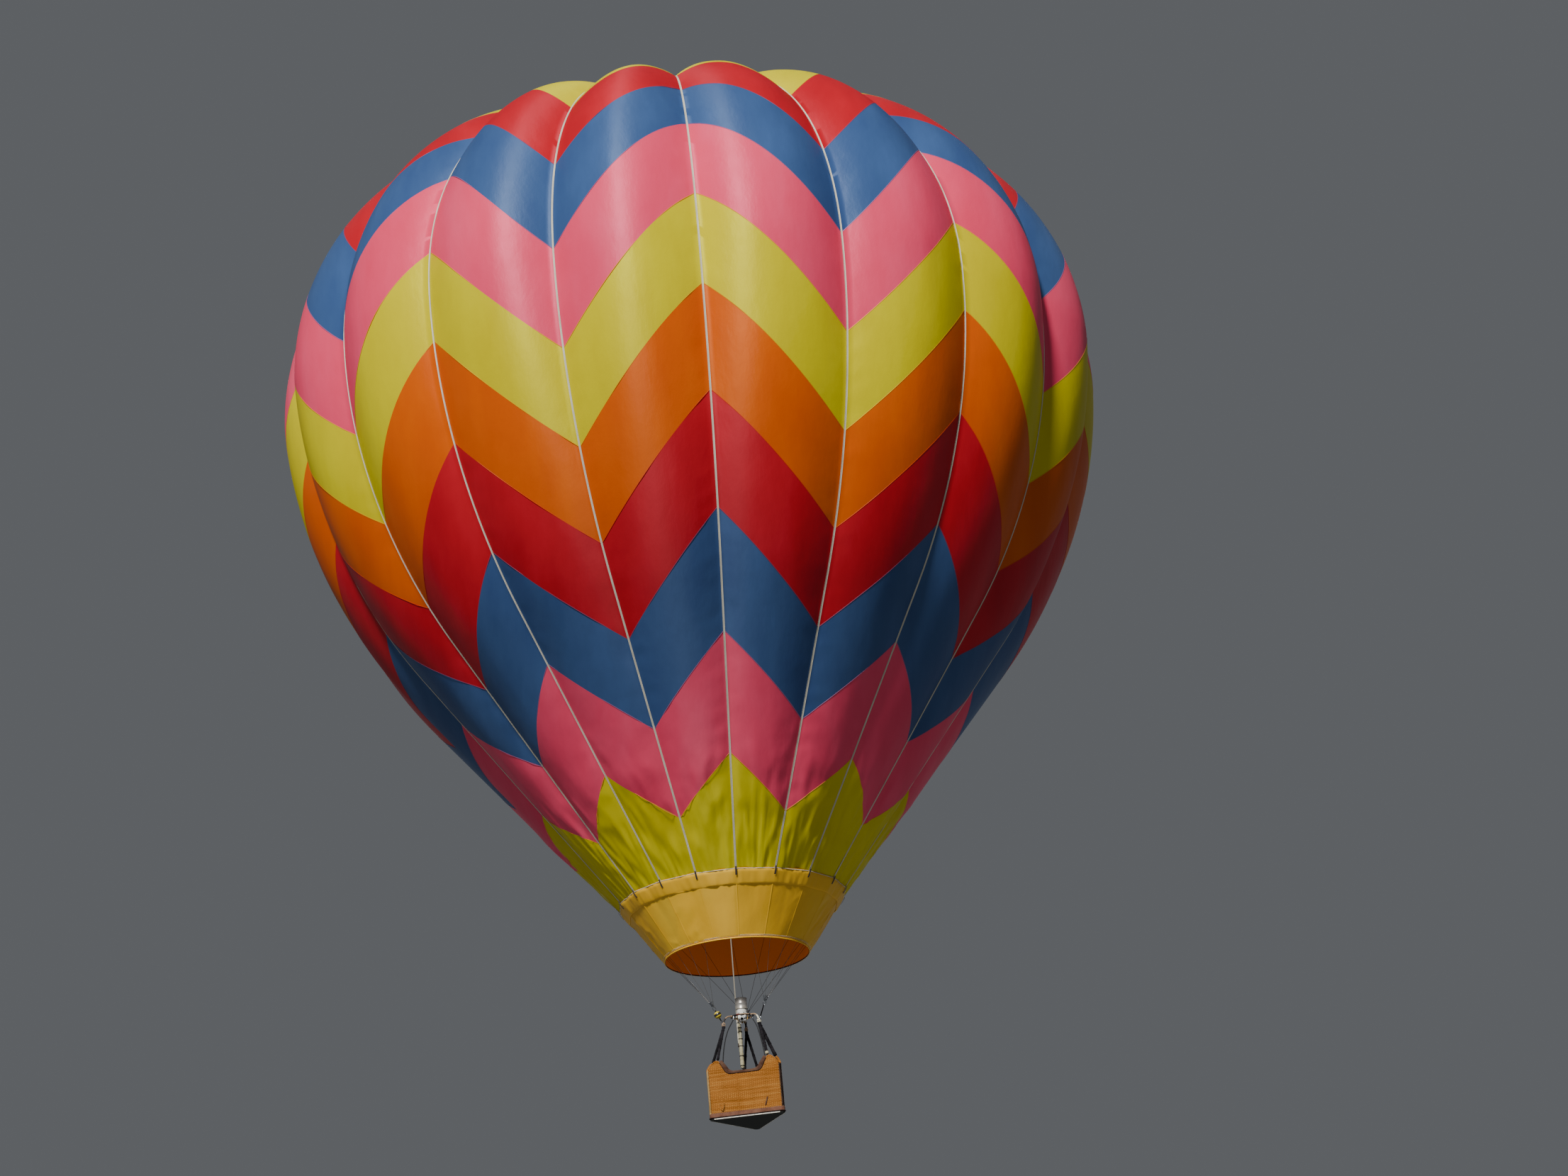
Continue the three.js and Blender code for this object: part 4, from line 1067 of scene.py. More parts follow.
def make_load_frame(steel):
    pink = metal_finish("frame_paint", 0xAC8E70, 0x967858, 0.45, metallic=0.0)
    cream = metal_finish("cream_paint", 0xEEE8CE, 0xD8D0B0, 0.42, metallic=0.0)
    dark = plain_finish("frame_grip", 0x2C2422, 0x1A1614, 0.6)
    red = plain_finish("red_grip", 0x7C2A24, 0x5C1C18, 0.55)
    grips, red_grip, bolts = frame_clamps()
    ring_z = over_floor(RING_HEIGHT)
    bars, creams = [ring(RING_RADIUS, RING_TUBE, ring_z, RING_STEPS, 14)], []
    nipple = lathe([(0, -0.034), (0.0145, -0.034), (0.016, -0.031), (0.016, -0.018), (0.0145, -0.015),
                    (0.0145, 0.004), (0, 0.004)], 18)
    for name, azimuth in CORNERS:
        path = arm_path(azimuth)
        bars += [tube(path, 0.0145, 14), tube(path[:3], [0.02, 0.019, 0.017], 14)]
        centre = polar(BRACKET_REACH, azimuth, over_floor(BRACKET_HEIGHT))
        bracket = block([BRACKET_SIZE] * 3, 0.005).at(centre, azimuth)
        arm_grip = tube(path[13:21], 0.0165, 14)
        if name == "right":
            creams += [arm_grip, bracket]
        else:
            bars.append(bracket)
            grips.append(arm_grip)
        for sign in (-1, 1):
            side = polar(BRACKET_SIZE / 2 * sign, azimuth + math.pi / 2)
            bolts += bolt(0.010, 0.009, centre + side, centre + side * 3)
        if name != "far":
            bolts.append(nipple.at(polar(RING_RADIUS, azimuth + HOSE_TURN, ring_z)))
    piece("frame_bars", [(bars, pink), (creams, cream), (grips, dark), (red_grip, red), (bolts, steel)],
          slot="frame_paint", replaces=["load_frame"])


# Uprights in padded covers: a sleeve with a closing seam and straps round it
def padded_sleeve(path, radius, seed, sides=20):
    angle = circle(sides)[None]
    run = travelled(path)[:, None]
    radius = np.broadcast_to(radius, len(path))[:, None]
    pads = 1 - 0.10 * np.exp(-((np.mod(run / 0.16 + 0.5, 1) - 0.5) / 0.09) ** 2)
    crumple = 1 + 0.07 * noise(angle * 1.3, run / 0.05, seed)
    seam = 1 + 0.16 * np.exp(-((angle - 1.2) / 0.16) ** 2)
    ends = np.minimum(1, 0.7 + np.minimum(run, run[-1] - run) / 0.05)
    return tube(path, radius * pads * crumple * seam * ends, sides)


def strap_round(radius, width=0.022):
    """A strap round a sleeve, with its middle on the origin and its axis along Z."""
    half = width / 2
    section = [(0.9, 0), (1.02, -half), (1.14, -half * 0.8), (1.14, half * 0.8), (1.02, half), (0.9, 0)]
    return lathe([(radius * scale, z) for scale, z in section], 20)


def make_covers(index, black, tan):
    name, azimuth = CORNERS[index]
    looks = {"slot": "cover_cloth", "replaces": [f"upright_covers_{name}"]}
    cap = polar(BRACKET_REACH, azimuth, over_floor(BRACKET_HEIGHT) - COVER_CAP_DROP)
    feet = [(SIDES[index][1], COVER_FOOT_DISTANCE), (SIDES[(index + 1) % 3][1], -COVER_FOOT_DISTANCE)]
    for number, (side, along) in enumerate(feet):
        foot = Vector(side_points(side, along, WALL_THICKNESS / 2, COVER_FOOT_HEIGHT))
        root = Vector(side_points(side, along, WALL_THICKNESS / 2, wall_top(along) - 0.03))
        top = cap + (foot - cap).normalized() * 0.012
        radius = COVERED_LEGS[name][number]
        sleeve = padded_sleeve(np.linspace(foot, top, 49), radius, 40 + 2 * index + number)
        straps = [strap_round(radius).along(foot.lerp(top, share), top)
                  for share in (0.08, 0.36, 0.65, 0.93)]
        cuff = lathe([(0, -0.006), (radius * 0.8, -0.006), (radius * 1.16, 0.004), (radius * 1.16, 0.05),
                      (radius * 0.9, 0.056), (0, 0.056)], 20).along(foot, top)
        cuff_look = tan if (name, number) == ("right", 0) else black
        made = piece(f"cover_{name}_{number + 1}", [([sleeve, *straps], black), (cuff, cuff_look)], **looks)
        pole = rod(root, foot + (foot - root).normalized() * 0.004, 0.013, 14)
        piece(f"pole_{name}_{number + 1}", [(pole, black)], **looks)
    boot = block((0.062, 0.062, 0.044), 0.012, 3).at(cap, azimuth)
    piece(f"cover_cap_{name}", [(boot, black)], **looks)


# Burner: made with heights over the floor and X along the gimbal's pins, then turned and moved to here
BURNER_PLACE = ((0, 0, FLOOR_Z), NEAR_SIDE_AZIMUTH)
# Turned profiles: radius, height
CAN_WALL = [(0.0, 2.272), (0.117, 2.272), (0.120, 2.276), (0.120, 2.292), (0.1175, 2.296), (0.1175, 2.376),
            (0.120, 2.380), (0.120, 2.388), (0.1175, 2.392), (0.1175, 2.484), (0.120, 2.488), (0.120, 2.498),
            (0.1175, CAN_TOP), (0.115, 2.497), (0.115, 2.279), (0.112, CAN_BOTTOM), (0, CAN_BOTTOM)]
BASE_CASTING = [(0, 2.150), (0.090, 2.150), (0.0945, 2.154), (0.0965, 2.170), (0.0945, 2.174),
                (0.0970, 2.180), (0.099, 2.205), (0.097, 2.209), (0.1, 2.214), (0.1015, 2.235),
                (0.0995, 2.240), (0.1035, 2.246), (0.105, 2.262), (0.101, 2.27), (0, 2.27)]
# Bent bars of the valve block: points that the fuel pipes and the lever run through
FUEL_PIPES = [[(0.082, 0.02, 2.06), (0.10, 0.025, 2.075), (0.105, 0.03, 2.12), (0.1, 0.03, 2.155)],
              [(-0.082, 0.02, 2.05), (-0.10, 0.02, 2.065), (-0.105, 0.01, 2.12), (-0.1, 0.01, 2.155)]]
LEVER = [(-0.05, -0.062, 2.06), (-0.055, -0.10, 2.05), (-0.06, -0.13, 2.0), (-0.06, -0.14, 1.95)]


def make_gimbal(steel, dark):
    bore = PIN_RADIUS + 0.0005
    collar = lathe([(0, -0.014), (0.016, -0.014), (0.018, -0.010), (0.018, 0.010), (0.016, 0.014),
                    (0, 0.014)], 20)
    pad = lathe([(bore, -0.014), (0.016, -0.014), (0.018, -0.010), (0.018, 0.004), (bore, 0.004)], 20)
    pin_end = RING_RADIUS - RING_TUBE - 0.006
    middle = Vector((0, 0, RING_HEIGHT))
    bars, pins = [ring(GIMBAL_RADIUS, 0.010, RING_HEIGHT, 64, 12)], []
    for sign in (-1, 1):
        for shape, outwards in ((collar, Vector((sign, 0, 0))), (pad, Vector((0, sign, 0)))):
            place = middle + outwards * GIMBAL_RADIUS
            bars.append(shape.along(place, place + outwards))
        pins.append(rod((sign * GIMBAL_RADIUS, 0, RING_HEIGHT), (sign * pin_end, 0, RING_HEIGHT),
                        PIN_RADIUS, 16))
    piece("gimbal_bars", [(bars, dark), (pins, steel)], body="gimbal", slot="dark_steel",
          replaces=["gimbal_ring"], at=BURNER_PLACE)


def burner_piece(name, parts, slot, replaced):
    piece(name, parts, body="burner", slot=slot, replaces=[replaced], at=BURNER_PLACE)


def make_can():
    steel = Finish("can_steel", 0xC4BCB0, 0.34, 0.55)
    spots = steel.noise(steel.object_place((1, 1, 0.4)), 9, 4)
    z = steel.node("SeparateXYZ", {"Vector": steel.object_place()}).outputs["Z"]
    rise = steel.node("MapRange", {"Value": z, "From Min": over_floor(CAN_BOTTOM - 0.007),
                                   "From Max": over_floor(CAN_TOP)})
    warm = steel.ramp(rise.outputs["Result"], [(0.0, 0xA89878), (0.45, 0xC8C0B4), (1.0, 0x8E7A66)])
    steel.paint(steel.blend(spots, warm, 0xD8D4CC))
    steel.dull(steel.between(steel.noise(steel.object_place((30, 30, 2)), 4), 0.28, 0.42))
    steel.bumps((steel.noise(steel.object_place((60, 60, 1)), 3), 0.12, 0.0006))
    rivet = lathe([(0, 0), (0.004, 0), (0.0035, 0.0016), (0, 0.0024)], 10)
    shapes = [lathe(CAN_WALL, 64)]
    for azimuth in circle(RIVETS_IN_A_RING):
        for height in RIVET_HEIGHTS:
            place = polar(0.1195, azimuth, height)
            shapes.append(rivet.along(place, place + polar(1, azimuth)))
    burner_piece("can_shell", [(shapes, steel.material)], "heated_steel", "burner_can")


def make_coil(brass):
    heated = metal_finish("coil_steel", 0x8C8278, 0x5E5248, 0.38)
    share = np.linspace(0, 1, COIL_TURNS * 36 + 1)
    low, high = CAN_BOTTOM + 0.010, CAN_TOP - 0.030
    coil = around(COIL_RADIUS, share * COIL_TURNS * 2 * math.pi, low + share * (high - low))
    brackets = [rod(polar(0.092, azimuth + 0.5, 2.281), polar(0.092, azimuth + 0.5, 2.47), 0.0022, 6)
                for azimuth in circle(4)]
    jet = lathe([(0.0055, 0), (0.0055, 0.016), (0.003, 0.022), (0, 0.022)], 10)
    jets = [jet.at(polar(0.045, azimuth, 2.279)) for azimuth in circle(JETS)]
    riser = rod((0, 0, 2.279), (0, 0, 2.33), 0.012, 16)
    burner_piece("coil_pipe", [([tube(coil, 0.009, 12), *brackets], heated), ([*jets, riser], brass)],
                 "heated_steel", "burner_coil")


def make_base(white, steel):
    bosses = []
    for azimuth in circle(BASE_BOLTS) + math.pi / BASE_BOLTS:
        place = polar(0.096, azimuth, 2.19)
        bosses += bolt(0.008, 0.010, place, place + polar(1, azimuth))
    burner_piece("base_casting", [(lathe(BASE_CASTING, 56), white), (bosses, steel)], "white_paint",
                 "burner_base")


def make_valve(white, steel, brass, black):
    castings = [block((0.16, 0.12, 0.127), 0.008, 3).at((0, 0, 2.084)),
                block((0.05, 0.014, 0.05), 0.005).at((-0.045, -0.063, 2.115)),
                block((0.03, 0.03, 0.046), 0.005).at((-0.04, -0.02, 1.998))]
    pin_end = GIMBAL_RADIUS - 0.016
    steels = [rod((0, sign * 0.05, RING_HEIGHT), (0, sign * pin_end, RING_HEIGHT), PIN_RADIUS, 16)
              for sign in (-1, 1)]
    steels.append(lathe([(0, 0), (0.024, 0), (0.026, 0.003), (0.026, 0.018), (0.022, 0.021), (0.021, 0.018),
                         (0, 0.018)], 28).along((0.052, -0.060, 2.10), (0.052, -1, 2.10)))
    inlet = lathe([(0, 0), (0.017, 0), (0.017, 0.016), (0.013, 0.018), (0.013, 0.034), (0, 0.034)], 6)
    inlets = [inlet.along(place, place - Vector((0, 0, 1)))
              for place in (Vector((0.045 * math.sin(turn), 0.03 * math.cos(turn), 2.02))
                            for turn in (0.9, math.pi, -0.9))]
    pipes = [tube(smooth_path(route, 14), 0.007, 12) for route in FUEL_PIPES]
    lever = tube(smooth_path(LEVER, 16), [0.006] * 13 + [0.009, 0.011, 0.011, 0.008], 12)
    burner_piece("valve_body", [(castings, white), (steels, steel), (inlets + pipes, brass), (lever, black)],
                 "white_paint", "valve_block")
    # The knob is turned about Y: how deep each ring of its points lies, and its share of the full radius
    knob = [(0, 0), (0, 0.85), (0.002, 1), (0.018, 1), (0.023, 0.86), (0.024, 0.4), (0.022, 0)]
    angle = circle(72)
    flutes = 0.0265 + 0.0015 * np.cos(angle * 12)
    rows = [np.stack([flutes * scale * np.cos(angle), np.full(72, -0.061 - depth),
                      2.07 + flutes * scale * np.sin(angle)], -1) for depth, scale in knob]
    burner_piece("knob_cap", [(grid(rows, wrap_columns=True), black)], "black_plastic", "valve_knob")


def make_burner(steel):
    white = plain_finish("white_paint", 0xF6F4EC, 0xE4E0D4, 0.38, Coat_Weight=0.2)
    brass = metal_finish("brass", 0xB08A48, 0x8A6A34, 0.3)
    black = plain_finish("black_plastic", 0x1C1C1E, 0x111112, 0.45)
    make_can()
    make_coil(brass)
    make_base(white, steel)
    make_valve(white, steel, brass, black)


# Fuel: in each corner a cylinder in a padded jacket, and its hose up to the load frame
def climbing_hose(azimuth):
    return smooth_path([polar(reach, azimuth + share * HOSE_TURN, over_floor(height))
                        for reach, height, share in CLIMB_ROUTE], 40)


def sleeve_hose(azimuth):
    """The hose that leaves its cylinder's valve sideways and bends up into the sleeve from below."""
    start, end = polar(CYLINDER_REACH, azimuth), polar(RING_RADIUS, SLEEVE_AZIMUTH)
    span = (end - start).length
    # Distance from the cylinder's axis towards the sleeve, height over the floor
    route = [(SIDE_OUTLET_REACH, SIDE_OUTLET_HEIGHT),
             ((SIDE_OUTLET_REACH + span - HOSE_BEND) / 2, SIDE_OUTLET_HEIGHT)]
    for angle in np.radians([0, 22.5, 45, 67.5, 90]):
        route.append((span - HOSE_BEND * (1 - math.sin(angle)),
                      SIDE_OUTLET_HEIGHT + HOSE_BEND * (1 - math.cos(angle))))
    route.append((span, SLEEVE_BOTTOM - 0.006))
    points = [start.lerp(end, along / span) + Vector((0, 0, over_floor(height))) for along, height in route]
    return smooth_path(points, 30)


def cylinder_shapes(is_far):
    """Shapes in the cylinder's own frame, its foot on the origin: shell and collar, fittings, handwheel."""
    top = CYLINDER_HEIGHT
    shell = lathe([(0, 0.02), (0.10, 0.02), (0.118, 0.002), (0.13, 0.0), (0.134, 0.012), (0.128, 0.03),
                   (0.140, 0.055), (0.1435, 0.08), (0.1435, 0.5), (0.1445, 0.503), (0.1445, 0.513),
                   (0.1435, 0.516), (0.1435, top - 0.10), (0.140, top - 0.06), (0.128, top - 0.03),
                   (0.105, top - 0.012), (0.06, top - 0.002), (0, top)], 56)
    # The collar is open at the back. Up its outside and down its inside: radius, height over the top
    section = [(0.078, -0.016), (0.078, 0.086), (0.075, 0.09), (0.072, 0.086), (0.072, -0.016)]
    angle = math.pi - np.linspace(-2.4, 2.4, 61)
    collar = grid([around(radius, angle, top + height) for radius, height in section])
    valve = [(0, -0.004), (0.026, -0.004), (0.026, 0.01), (0.018, 0.014), (0.018, 0.05), (0.014, 0.054)]
    if is_far:
        valve += [(0.014, 0.07), (0.010, 0.074), (0, 0.074)]
    else:
        valve += [(0.014, 0.074), (0.0165, 0.076), (0.0165, 0.094), (0, 0.094)]
    hub, ahead = Vector((0.01, 0, top + 0.034)), Vector((1, 0, top + 0.034))
    stem = lathe([(0, 0.0), (0.007, 0.0), (0.007, 0.03), (0, 0.03)], 12).along(hub, ahead)
    wheel = lathe([(0, 0.026), (0.018, 0.026), (0.0225, 0.030), (0.0225, 0.036), (0.018, 0.040),
                   (0, 0.040)], 10)
    fittings = [lathe([(r, top + z) for r, z in valve], 20), stem]
    if is_far:
        z = SIDE_OUTLET_HEIGHT - CYLINDER_FOOT
        fittings.append(rod((0, 0, z), (0, -SIDE_OUTLET_REACH, z), 0.0125, 16))
    else:
        fittings.append(ring(0.078, 0.0045, top + 0.086, 48, 8))
    return [shell, collar], fittings, wheel.along(hub, ahead)


def make_jacket(name, base, azimuth, cover, trim):
    """The quilted jacket round a cylinder, which leaves its collar free."""
    top = CYLINDER_HEIGHT
    looks = {"replaces": [f"fuel_cylinder_{name}"], "at": (base, azimuth)}
    profile = [(0.1455, 0.10), (0.1485, 0.105), (0.1495, 0.13), (0.1495, top - 0.13), (0.1485, top - 0.10),
               (0.1455, top - 0.065), (0.136, top - 0.035), (0.115, top - 0.016), (0.092, top - 0.005),
               (0.088, top - 0.008)]
    points = smooth_path([(r, 0, z) for r, z in profile], 90)
    radius, height = points[:, :1], points[:, 2:]
    angle = circle(96)
    panels = np.abs(np.sin(angle * 5)) ** 0.5
    belts = np.abs(np.sin(math.pi * (height - 0.1) / 0.17)) ** 0.5
    puff = 0.0075 * np.minimum(panels, belts) + 0.0015 * noise(angle * 4, height * 14, 91)
    reach = radius + puff * (radius > 0.1)
    rows = np.stack(np.broadcast_arrays(reach * np.cos(angle), reach * np.sin(angle), height), -1)
    quilt = grid(rows, wrap_columns=True, flip=True)
    belt = lathe([(0.1500, -0.022), (0.1585, -0.020), (0.1585, 0.020), (0.1500, 0.022), (0.149, 0),
                  (0.1500, -0.022)], 56)
    buckle = block((0.06, 0.012, 0.05), 0.004).at((0, -0.158, 0))
    straps = [shape.at((0, 0, height)) for height in JACKET_BELT_HEIGHTS for shape in (belt, buckle)]
    piece(f"jacket_{name}", [(quilt, cover)], slot="dark_leather", **looks)
    piece(f"jacket_straps_{name}", [(straps, trim)], slot="hose_rubber", **looks)


def hose_fitting(place, toward):
    """A hexagon nut and a ferrule that narrows onto the hose."""
    nut = lathe([(0, -0.004), (0.016, -0.004), (0.017, -0.002), (0.017, 0.013), (0.0155, 0.016),
                 (0, 0.016)], 6)
    ferrule = lathe([(0, 0.014), (0.0145, 0.014), (0.0145, 0.034), (0.0128, 0.046), (0.0114, 0.056),
                     (0, 0.056)], 20)
    return [shape.along(place, toward) for shape in (nut, ferrule)]


def make_fuel(name, azimuth, looks):
    is_far = name == "far"
    base = polar(CYLINDER_REACH, azimuth, over_floor(CYLINDER_FOOT))
    path = sleeve_hose(azimuth) if is_far else climbing_hose(azimuth)
    outwards = path[1] - path[0]
    turn = math.atan2(outwards[0], -outwards[1]) if is_far else azimuth
    shell, fittings, wheel = cylinder_shapes(is_far)
    piece(f"cylinder_{name}", [(shell, looks["metal"]), (fittings, looks["brass"]), (wheel, looks["trim"])],
          slot="cylinder_metal", replaces=[f"fuel_cylinder_{name}"], at=(base, turn))
    make_jacket(name, base, azimuth, looks["jacket"], looks["trim"])
    hose = piece(f"hose_{name}", [(tube(path, HOSE_DIAMETER / 2, 12), looks["rubber"])], slot="hose_rubber",
                 replaces=[f"fuel_hose_{name}"])
    ends = hose_fitting(path[0], path[1])
    if is_far:
        cover = lathe([(0.0115, 0.002), (0.019, -0.002), (0.033, 0.006), (0.033, 0.010),
                       (0.0115, 0.012)], 24)
        ends.append(cover.at(path[-1]))
    else:
        ends += hose_fitting(path[-1], path[-2])
    fitted = piece(f"hose_ends_{name}", [(ends, looks["steel"])], slot="bright_steel")
    tuple(path[0])
    round(float(travelled(path)[-1]), 3)
    [tuple(p) for p in path]


def make_hose_sleeve(tan, black):
    """The tan padded sleeve on the load frame, with its black ties."""
    heights = np.linspace(SLEEVE_BOTTOM, SLEEVE_TOP, 70)
    radius = np.interp(heights, [SLEEVE_BOTTOM, SLEEVE_BOTTOM + 0.03, SLEEVE_TAPER_HEIGHT, SLEEVE_TOP],
                       [0.037, 0.039, 0.039, 0.027])
    path = around(RING_RADIUS, SLEEVE_AZIMUTH, over_floor(heights))
    ties = []
    for height in TIE_HEIGHTS:
        middle = polar(RING_RADIUS, SLEEVE_AZIMUTH, over_floor(height))
        size = float(np.interp(height, heights, radius))
        knot = middle + polar(-1, SLEEVE_AZIMUTH + math.radians(60)) * size * 1.1
        ties += [strap_round(size * 1.02, 0.018).at(middle),
                 block((0.022, 0.016, 0.026), 0.005, 2).at(knot, SLEEVE_AZIMUTH)]
    made = piece("sleeve", [(padded_sleeve(path, radius, 77, 24), tan), (ties, black)], slot="sleeve_hide",
                 replaces=["hose_sleeve"])


# Basket
HALF_SIDE = CORNER_REACH * math.sin(math.radians(60))
SIDE_DISTANCE = CORNER_REACH / 2
STRAIGHT_HALF = HALF_SIDE - CORNER_RADIUS / math.tan(math.radians(30))
CORNER_ARC = CORNER_RADIUS * math.radians(60)
EDGE_REACH = STRAIGHT_HALF + CORNER_ARC


def side_points(azimuth, along, inset, height):
    """Points at a distance along a side, or round the corner after it, inside its outer face."""
    along, inset, height = np.broadcast_arrays(np.asarray(along, float), inset, height)
    straight = np.minimum(np.abs(along), STRAIGHT_HALF)
    angle = (np.abs(along) - straight) / CORNER_RADIUS
    radius = CORNER_RADIUS - inset
    out = SIDE_DISTANCE - CORNER_RADIUS + radius * np.cos(angle)
    forward = np.sign(along) * (straight + radius * np.sin(angle))
    return np.stack([out * math.sin(azimuth) + forward * math.cos(azimuth),
                     -out * math.cos(azimuth) + forward * math.sin(azimuth),
                     FLOOR_Z + height], -1)


def smooth_edge(corners):
    """An edge with its bends rounded off, as places along the side and heights there."""
    places = np.arange(0, 0.76, 0.002)
    heights = np.interp(places, *zip(*corners))
    for _ in range(2):
        heights = np.convolve(np.pad(heights, 9, mode="reflect"), np.full(19, 1 / 19), mode="valid")
    return places, heights


SMOOTH_WALL_TOP = smooth_edge(WALL_TOP)
SMOOTH_BINDING_TOP = smooth_edge(BINDING_TOP)


def wall_top(along):
    return np.interp(np.abs(along), *SMOOTH_WALL_TOP)


def binding_top(along):
    return np.interp(np.abs(along), *SMOOTH_BINDING_TOP)


def weave(along, height):
    """Relief of the wicker from 0 to 1: weavers pass in front of and behind upright stakes in turn."""
    row = np.floor(height / WEAVER_PITCH)
    across = np.mod(height / WEAVER_PITCH, 1)
    stake = along / STAKE_PITCH
    strand = np.sqrt(np.maximum(np.sin(math.pi * across), 0))
    strand *= 0.62 + 0.38 * np.cos(math.pi * (stake + row))
    strand *= 1 + 0.12 * noise(along * 9, row, 51)
    bar = 0.72 * np.sqrt(np.maximum(1 - ((stake - np.round(stake)) / 0.2) ** 2, 0))
    return np.maximum(strand, bar)


def weave_face(azimuth, inset, outward, column, rows_per_weaver):
    """One face of a wall, cut off along the wall's top edge."""
    along = np.linspace(-EDGE_REACH, EDGE_REACH, round(2 * EDGE_REACH / column) + 1)
    top = wall_top(along)
    step = WEAVER_PITCH / rows_per_weaver
    heights = np.arange(WALL_BOTTOM, float(top.max()) + step, step)[:, None]
    height = np.minimum(heights, top)
    relief = weave(along, height)
    points = side_points(azimuth, along, inset - outward * (relief * 0.007 - 0.003), height)
    # The relief goes with the points, and the wicker finish paints shade where it is low.
    shape = grid(points, place=laid(points, along + azimuth, height, relief), flip=outward < 0)
    above = (heights >= top + 1e-9).ravel()
    shape.faces = [face for face in shape.faces if not all(above[i] for i in face)]
    return shape


def wall_ends(start, end):
    """The parts of a wall between two distances from its middle, on either side."""
    return (-end, -start), (start, end)


def make_wall(name, azimuth, cane):
    parts = [weave_face(azimuth, 0.002, 1, *OUTER_WEAVE),
             weave_face(azimuth, WALL_THICKNESS - 0.002, -1, *INNER_WEAVE)]
    if name == "near":
        height = np.linspace(WALL_BOTTOM + 0.1, wall_top(RIDGE_PLACE) - 0.01, 60)
        for offset in (-0.009, 0.009):
            along = RIDGE_PLACE + offset + 0.0015 * np.sin(height * 60 + offset * 400)
            ridge = tube(side_points(azimuth, along, -0.003, height), 0.005, 8)
            # Full relief, so the wicker finish paints no shade on the ridge.
            ridge.place[:, 2] = 1
            parts.append(ridge)
    piece(f"wicker_{name}", [(parts, cane)], slot="wicker", replaces=[f"basket_wall_{name}"], crease=75)


def make_lining(name, azimuth, leather):
    """The leather that lines the inside of a wall's high parts, under its rim."""
    linings = []
    for low, high in wall_ends(LINING_START, EDGE_REACH):
        along = np.linspace(low, high, 60)
        top = wall_top(along) - 0.008
        bottom = LINING_BOTTOM + 0.012 * noise(along * 9, 2.0, 64)
        height = top - np.linspace(0, 1, 30)[:, None] * (top - bottom)
        puff = 0.005 * noise(along * 14, height * 12, 65) + 0.004 * np.abs(np.sin(along * 26))
        linings.append(grid(side_points(azimuth, along, WALL_THICKNESS + 0.008 + puff, height), flip=True))
    piece(f"lining_{name}", [(linings, leather)], slot="dark_leather", replaces=[f"basket_wall_{name}"],
          crease=60)


def make_binding(name, azimuth, leather, seam):
    """The padded binding on the low part of a wall's top edge, with a dark tube along its outer edge under
    the roll, painted shade where the roll's shadow falls.
    """
    along = np.linspace(-BINDING_REACH, BINDING_REACH, 150)
    edge = wall_top(along)
    # Across the binding: distance inwards from the wall's middle, height over its edge
    outline = [(-0.0230, -0.020), (-0.0245, -0.006)]
    outline += [(-0.026 * math.cos(a), 0.014 + 0.028 * math.sin(a)) for a in np.linspace(0, math.pi, 13)]
    outline += [(0.0250, -0.03), (0.0240, -0.11), (0.0205, -0.11), (0.0205, -0.004), (-0.0205, -0.004),
                (-0.0205, -0.020)]
    outline_top = 0.042
    fullness = np.sqrt(np.clip((BINDING_REACH - np.abs(along)) / 0.03, 0.05, 1))
    stretch = fullness * (binding_top(along) - edge) / outline_top
    gathers = 0.05 * noise(along * 30, 5.0, 63)
    wave = 0.008 * noise(along * 7, 3.0, 62)
    rows = []
    for number, (inwards, up) in enumerate(outline):
        swell = 1 + 0.05 * noise(along * 11, number * 0.7, 61) * (up > 0)
        height = np.where(up > 0, up * stretch * (1 + gathers), up) + wave * (up < -0.09)
        rows.append(side_points(azimuth, along, WALL_THICKNESS / 2 + inwards * swell, edge + height))
    shape = capped(grid(np.stack(rows, 1), wrap_columns=True), len(outline))
    # The dark tube under the roll's outer edge is painted shade; the stitches after it are real.
    trims = [tube(side_points(azimuth, along, -0.0065, edge - 0.014), 0.006, 8)]
    for place in np.arange(-BINDING_REACH + 0.02, BINDING_REACH - 0.02, STITCH_PITCH):
        ends = np.array([place, place + STITCH_LENGTH])
        stitch = side_points(azimuth, ends, WALL_THICKNESS + 0.0072, wall_top(ends) - 0.09)
        trims.append(rod(*stitch, 0.0016, 5))
    made = piece(f"binding_{name}", [(shape, leather), (trims, seam)], slot="dark_leather",
                 replaces=[f"top_roll_{name}"])


def make_rim(name, azimuth, cane):
    """The plaited rim on the wicker's high parts: strands that cross the wall's top edge at a slant."""
    rims = []
    for low, high in wall_ends(BINDING_REACH - 0.015, EDGE_REACH - 0.0005):
        along = np.linspace(low, high, 130)[:, None]
        angle = np.linspace(-0.5, math.pi + 0.5, 15)
        relief = 0.5 + 0.5 * np.cos(2 * math.pi * along / 0.032 + 2 * angle)
        thick = 0.0205 + 0.004 * relief
        points = side_points(azimuth, along, WALL_THICKNESS / 2 - thick * np.cos(angle),
                             wall_top(along) - 0.003 + thick * np.sin(angle))
        # The relief here also sets the painted shade that the wicker finish puts in the plait's hollows.
        place = laid(points, along, angle * 0.02 + along * 0.5, 0.35 + 0.65 * relief)
        rims.append(grid(points, place=place))
    piece(f"rim_{name}", [(rims, cane)], slot="wicker", replaces=[f"top_roll_{name}"], crease=75)


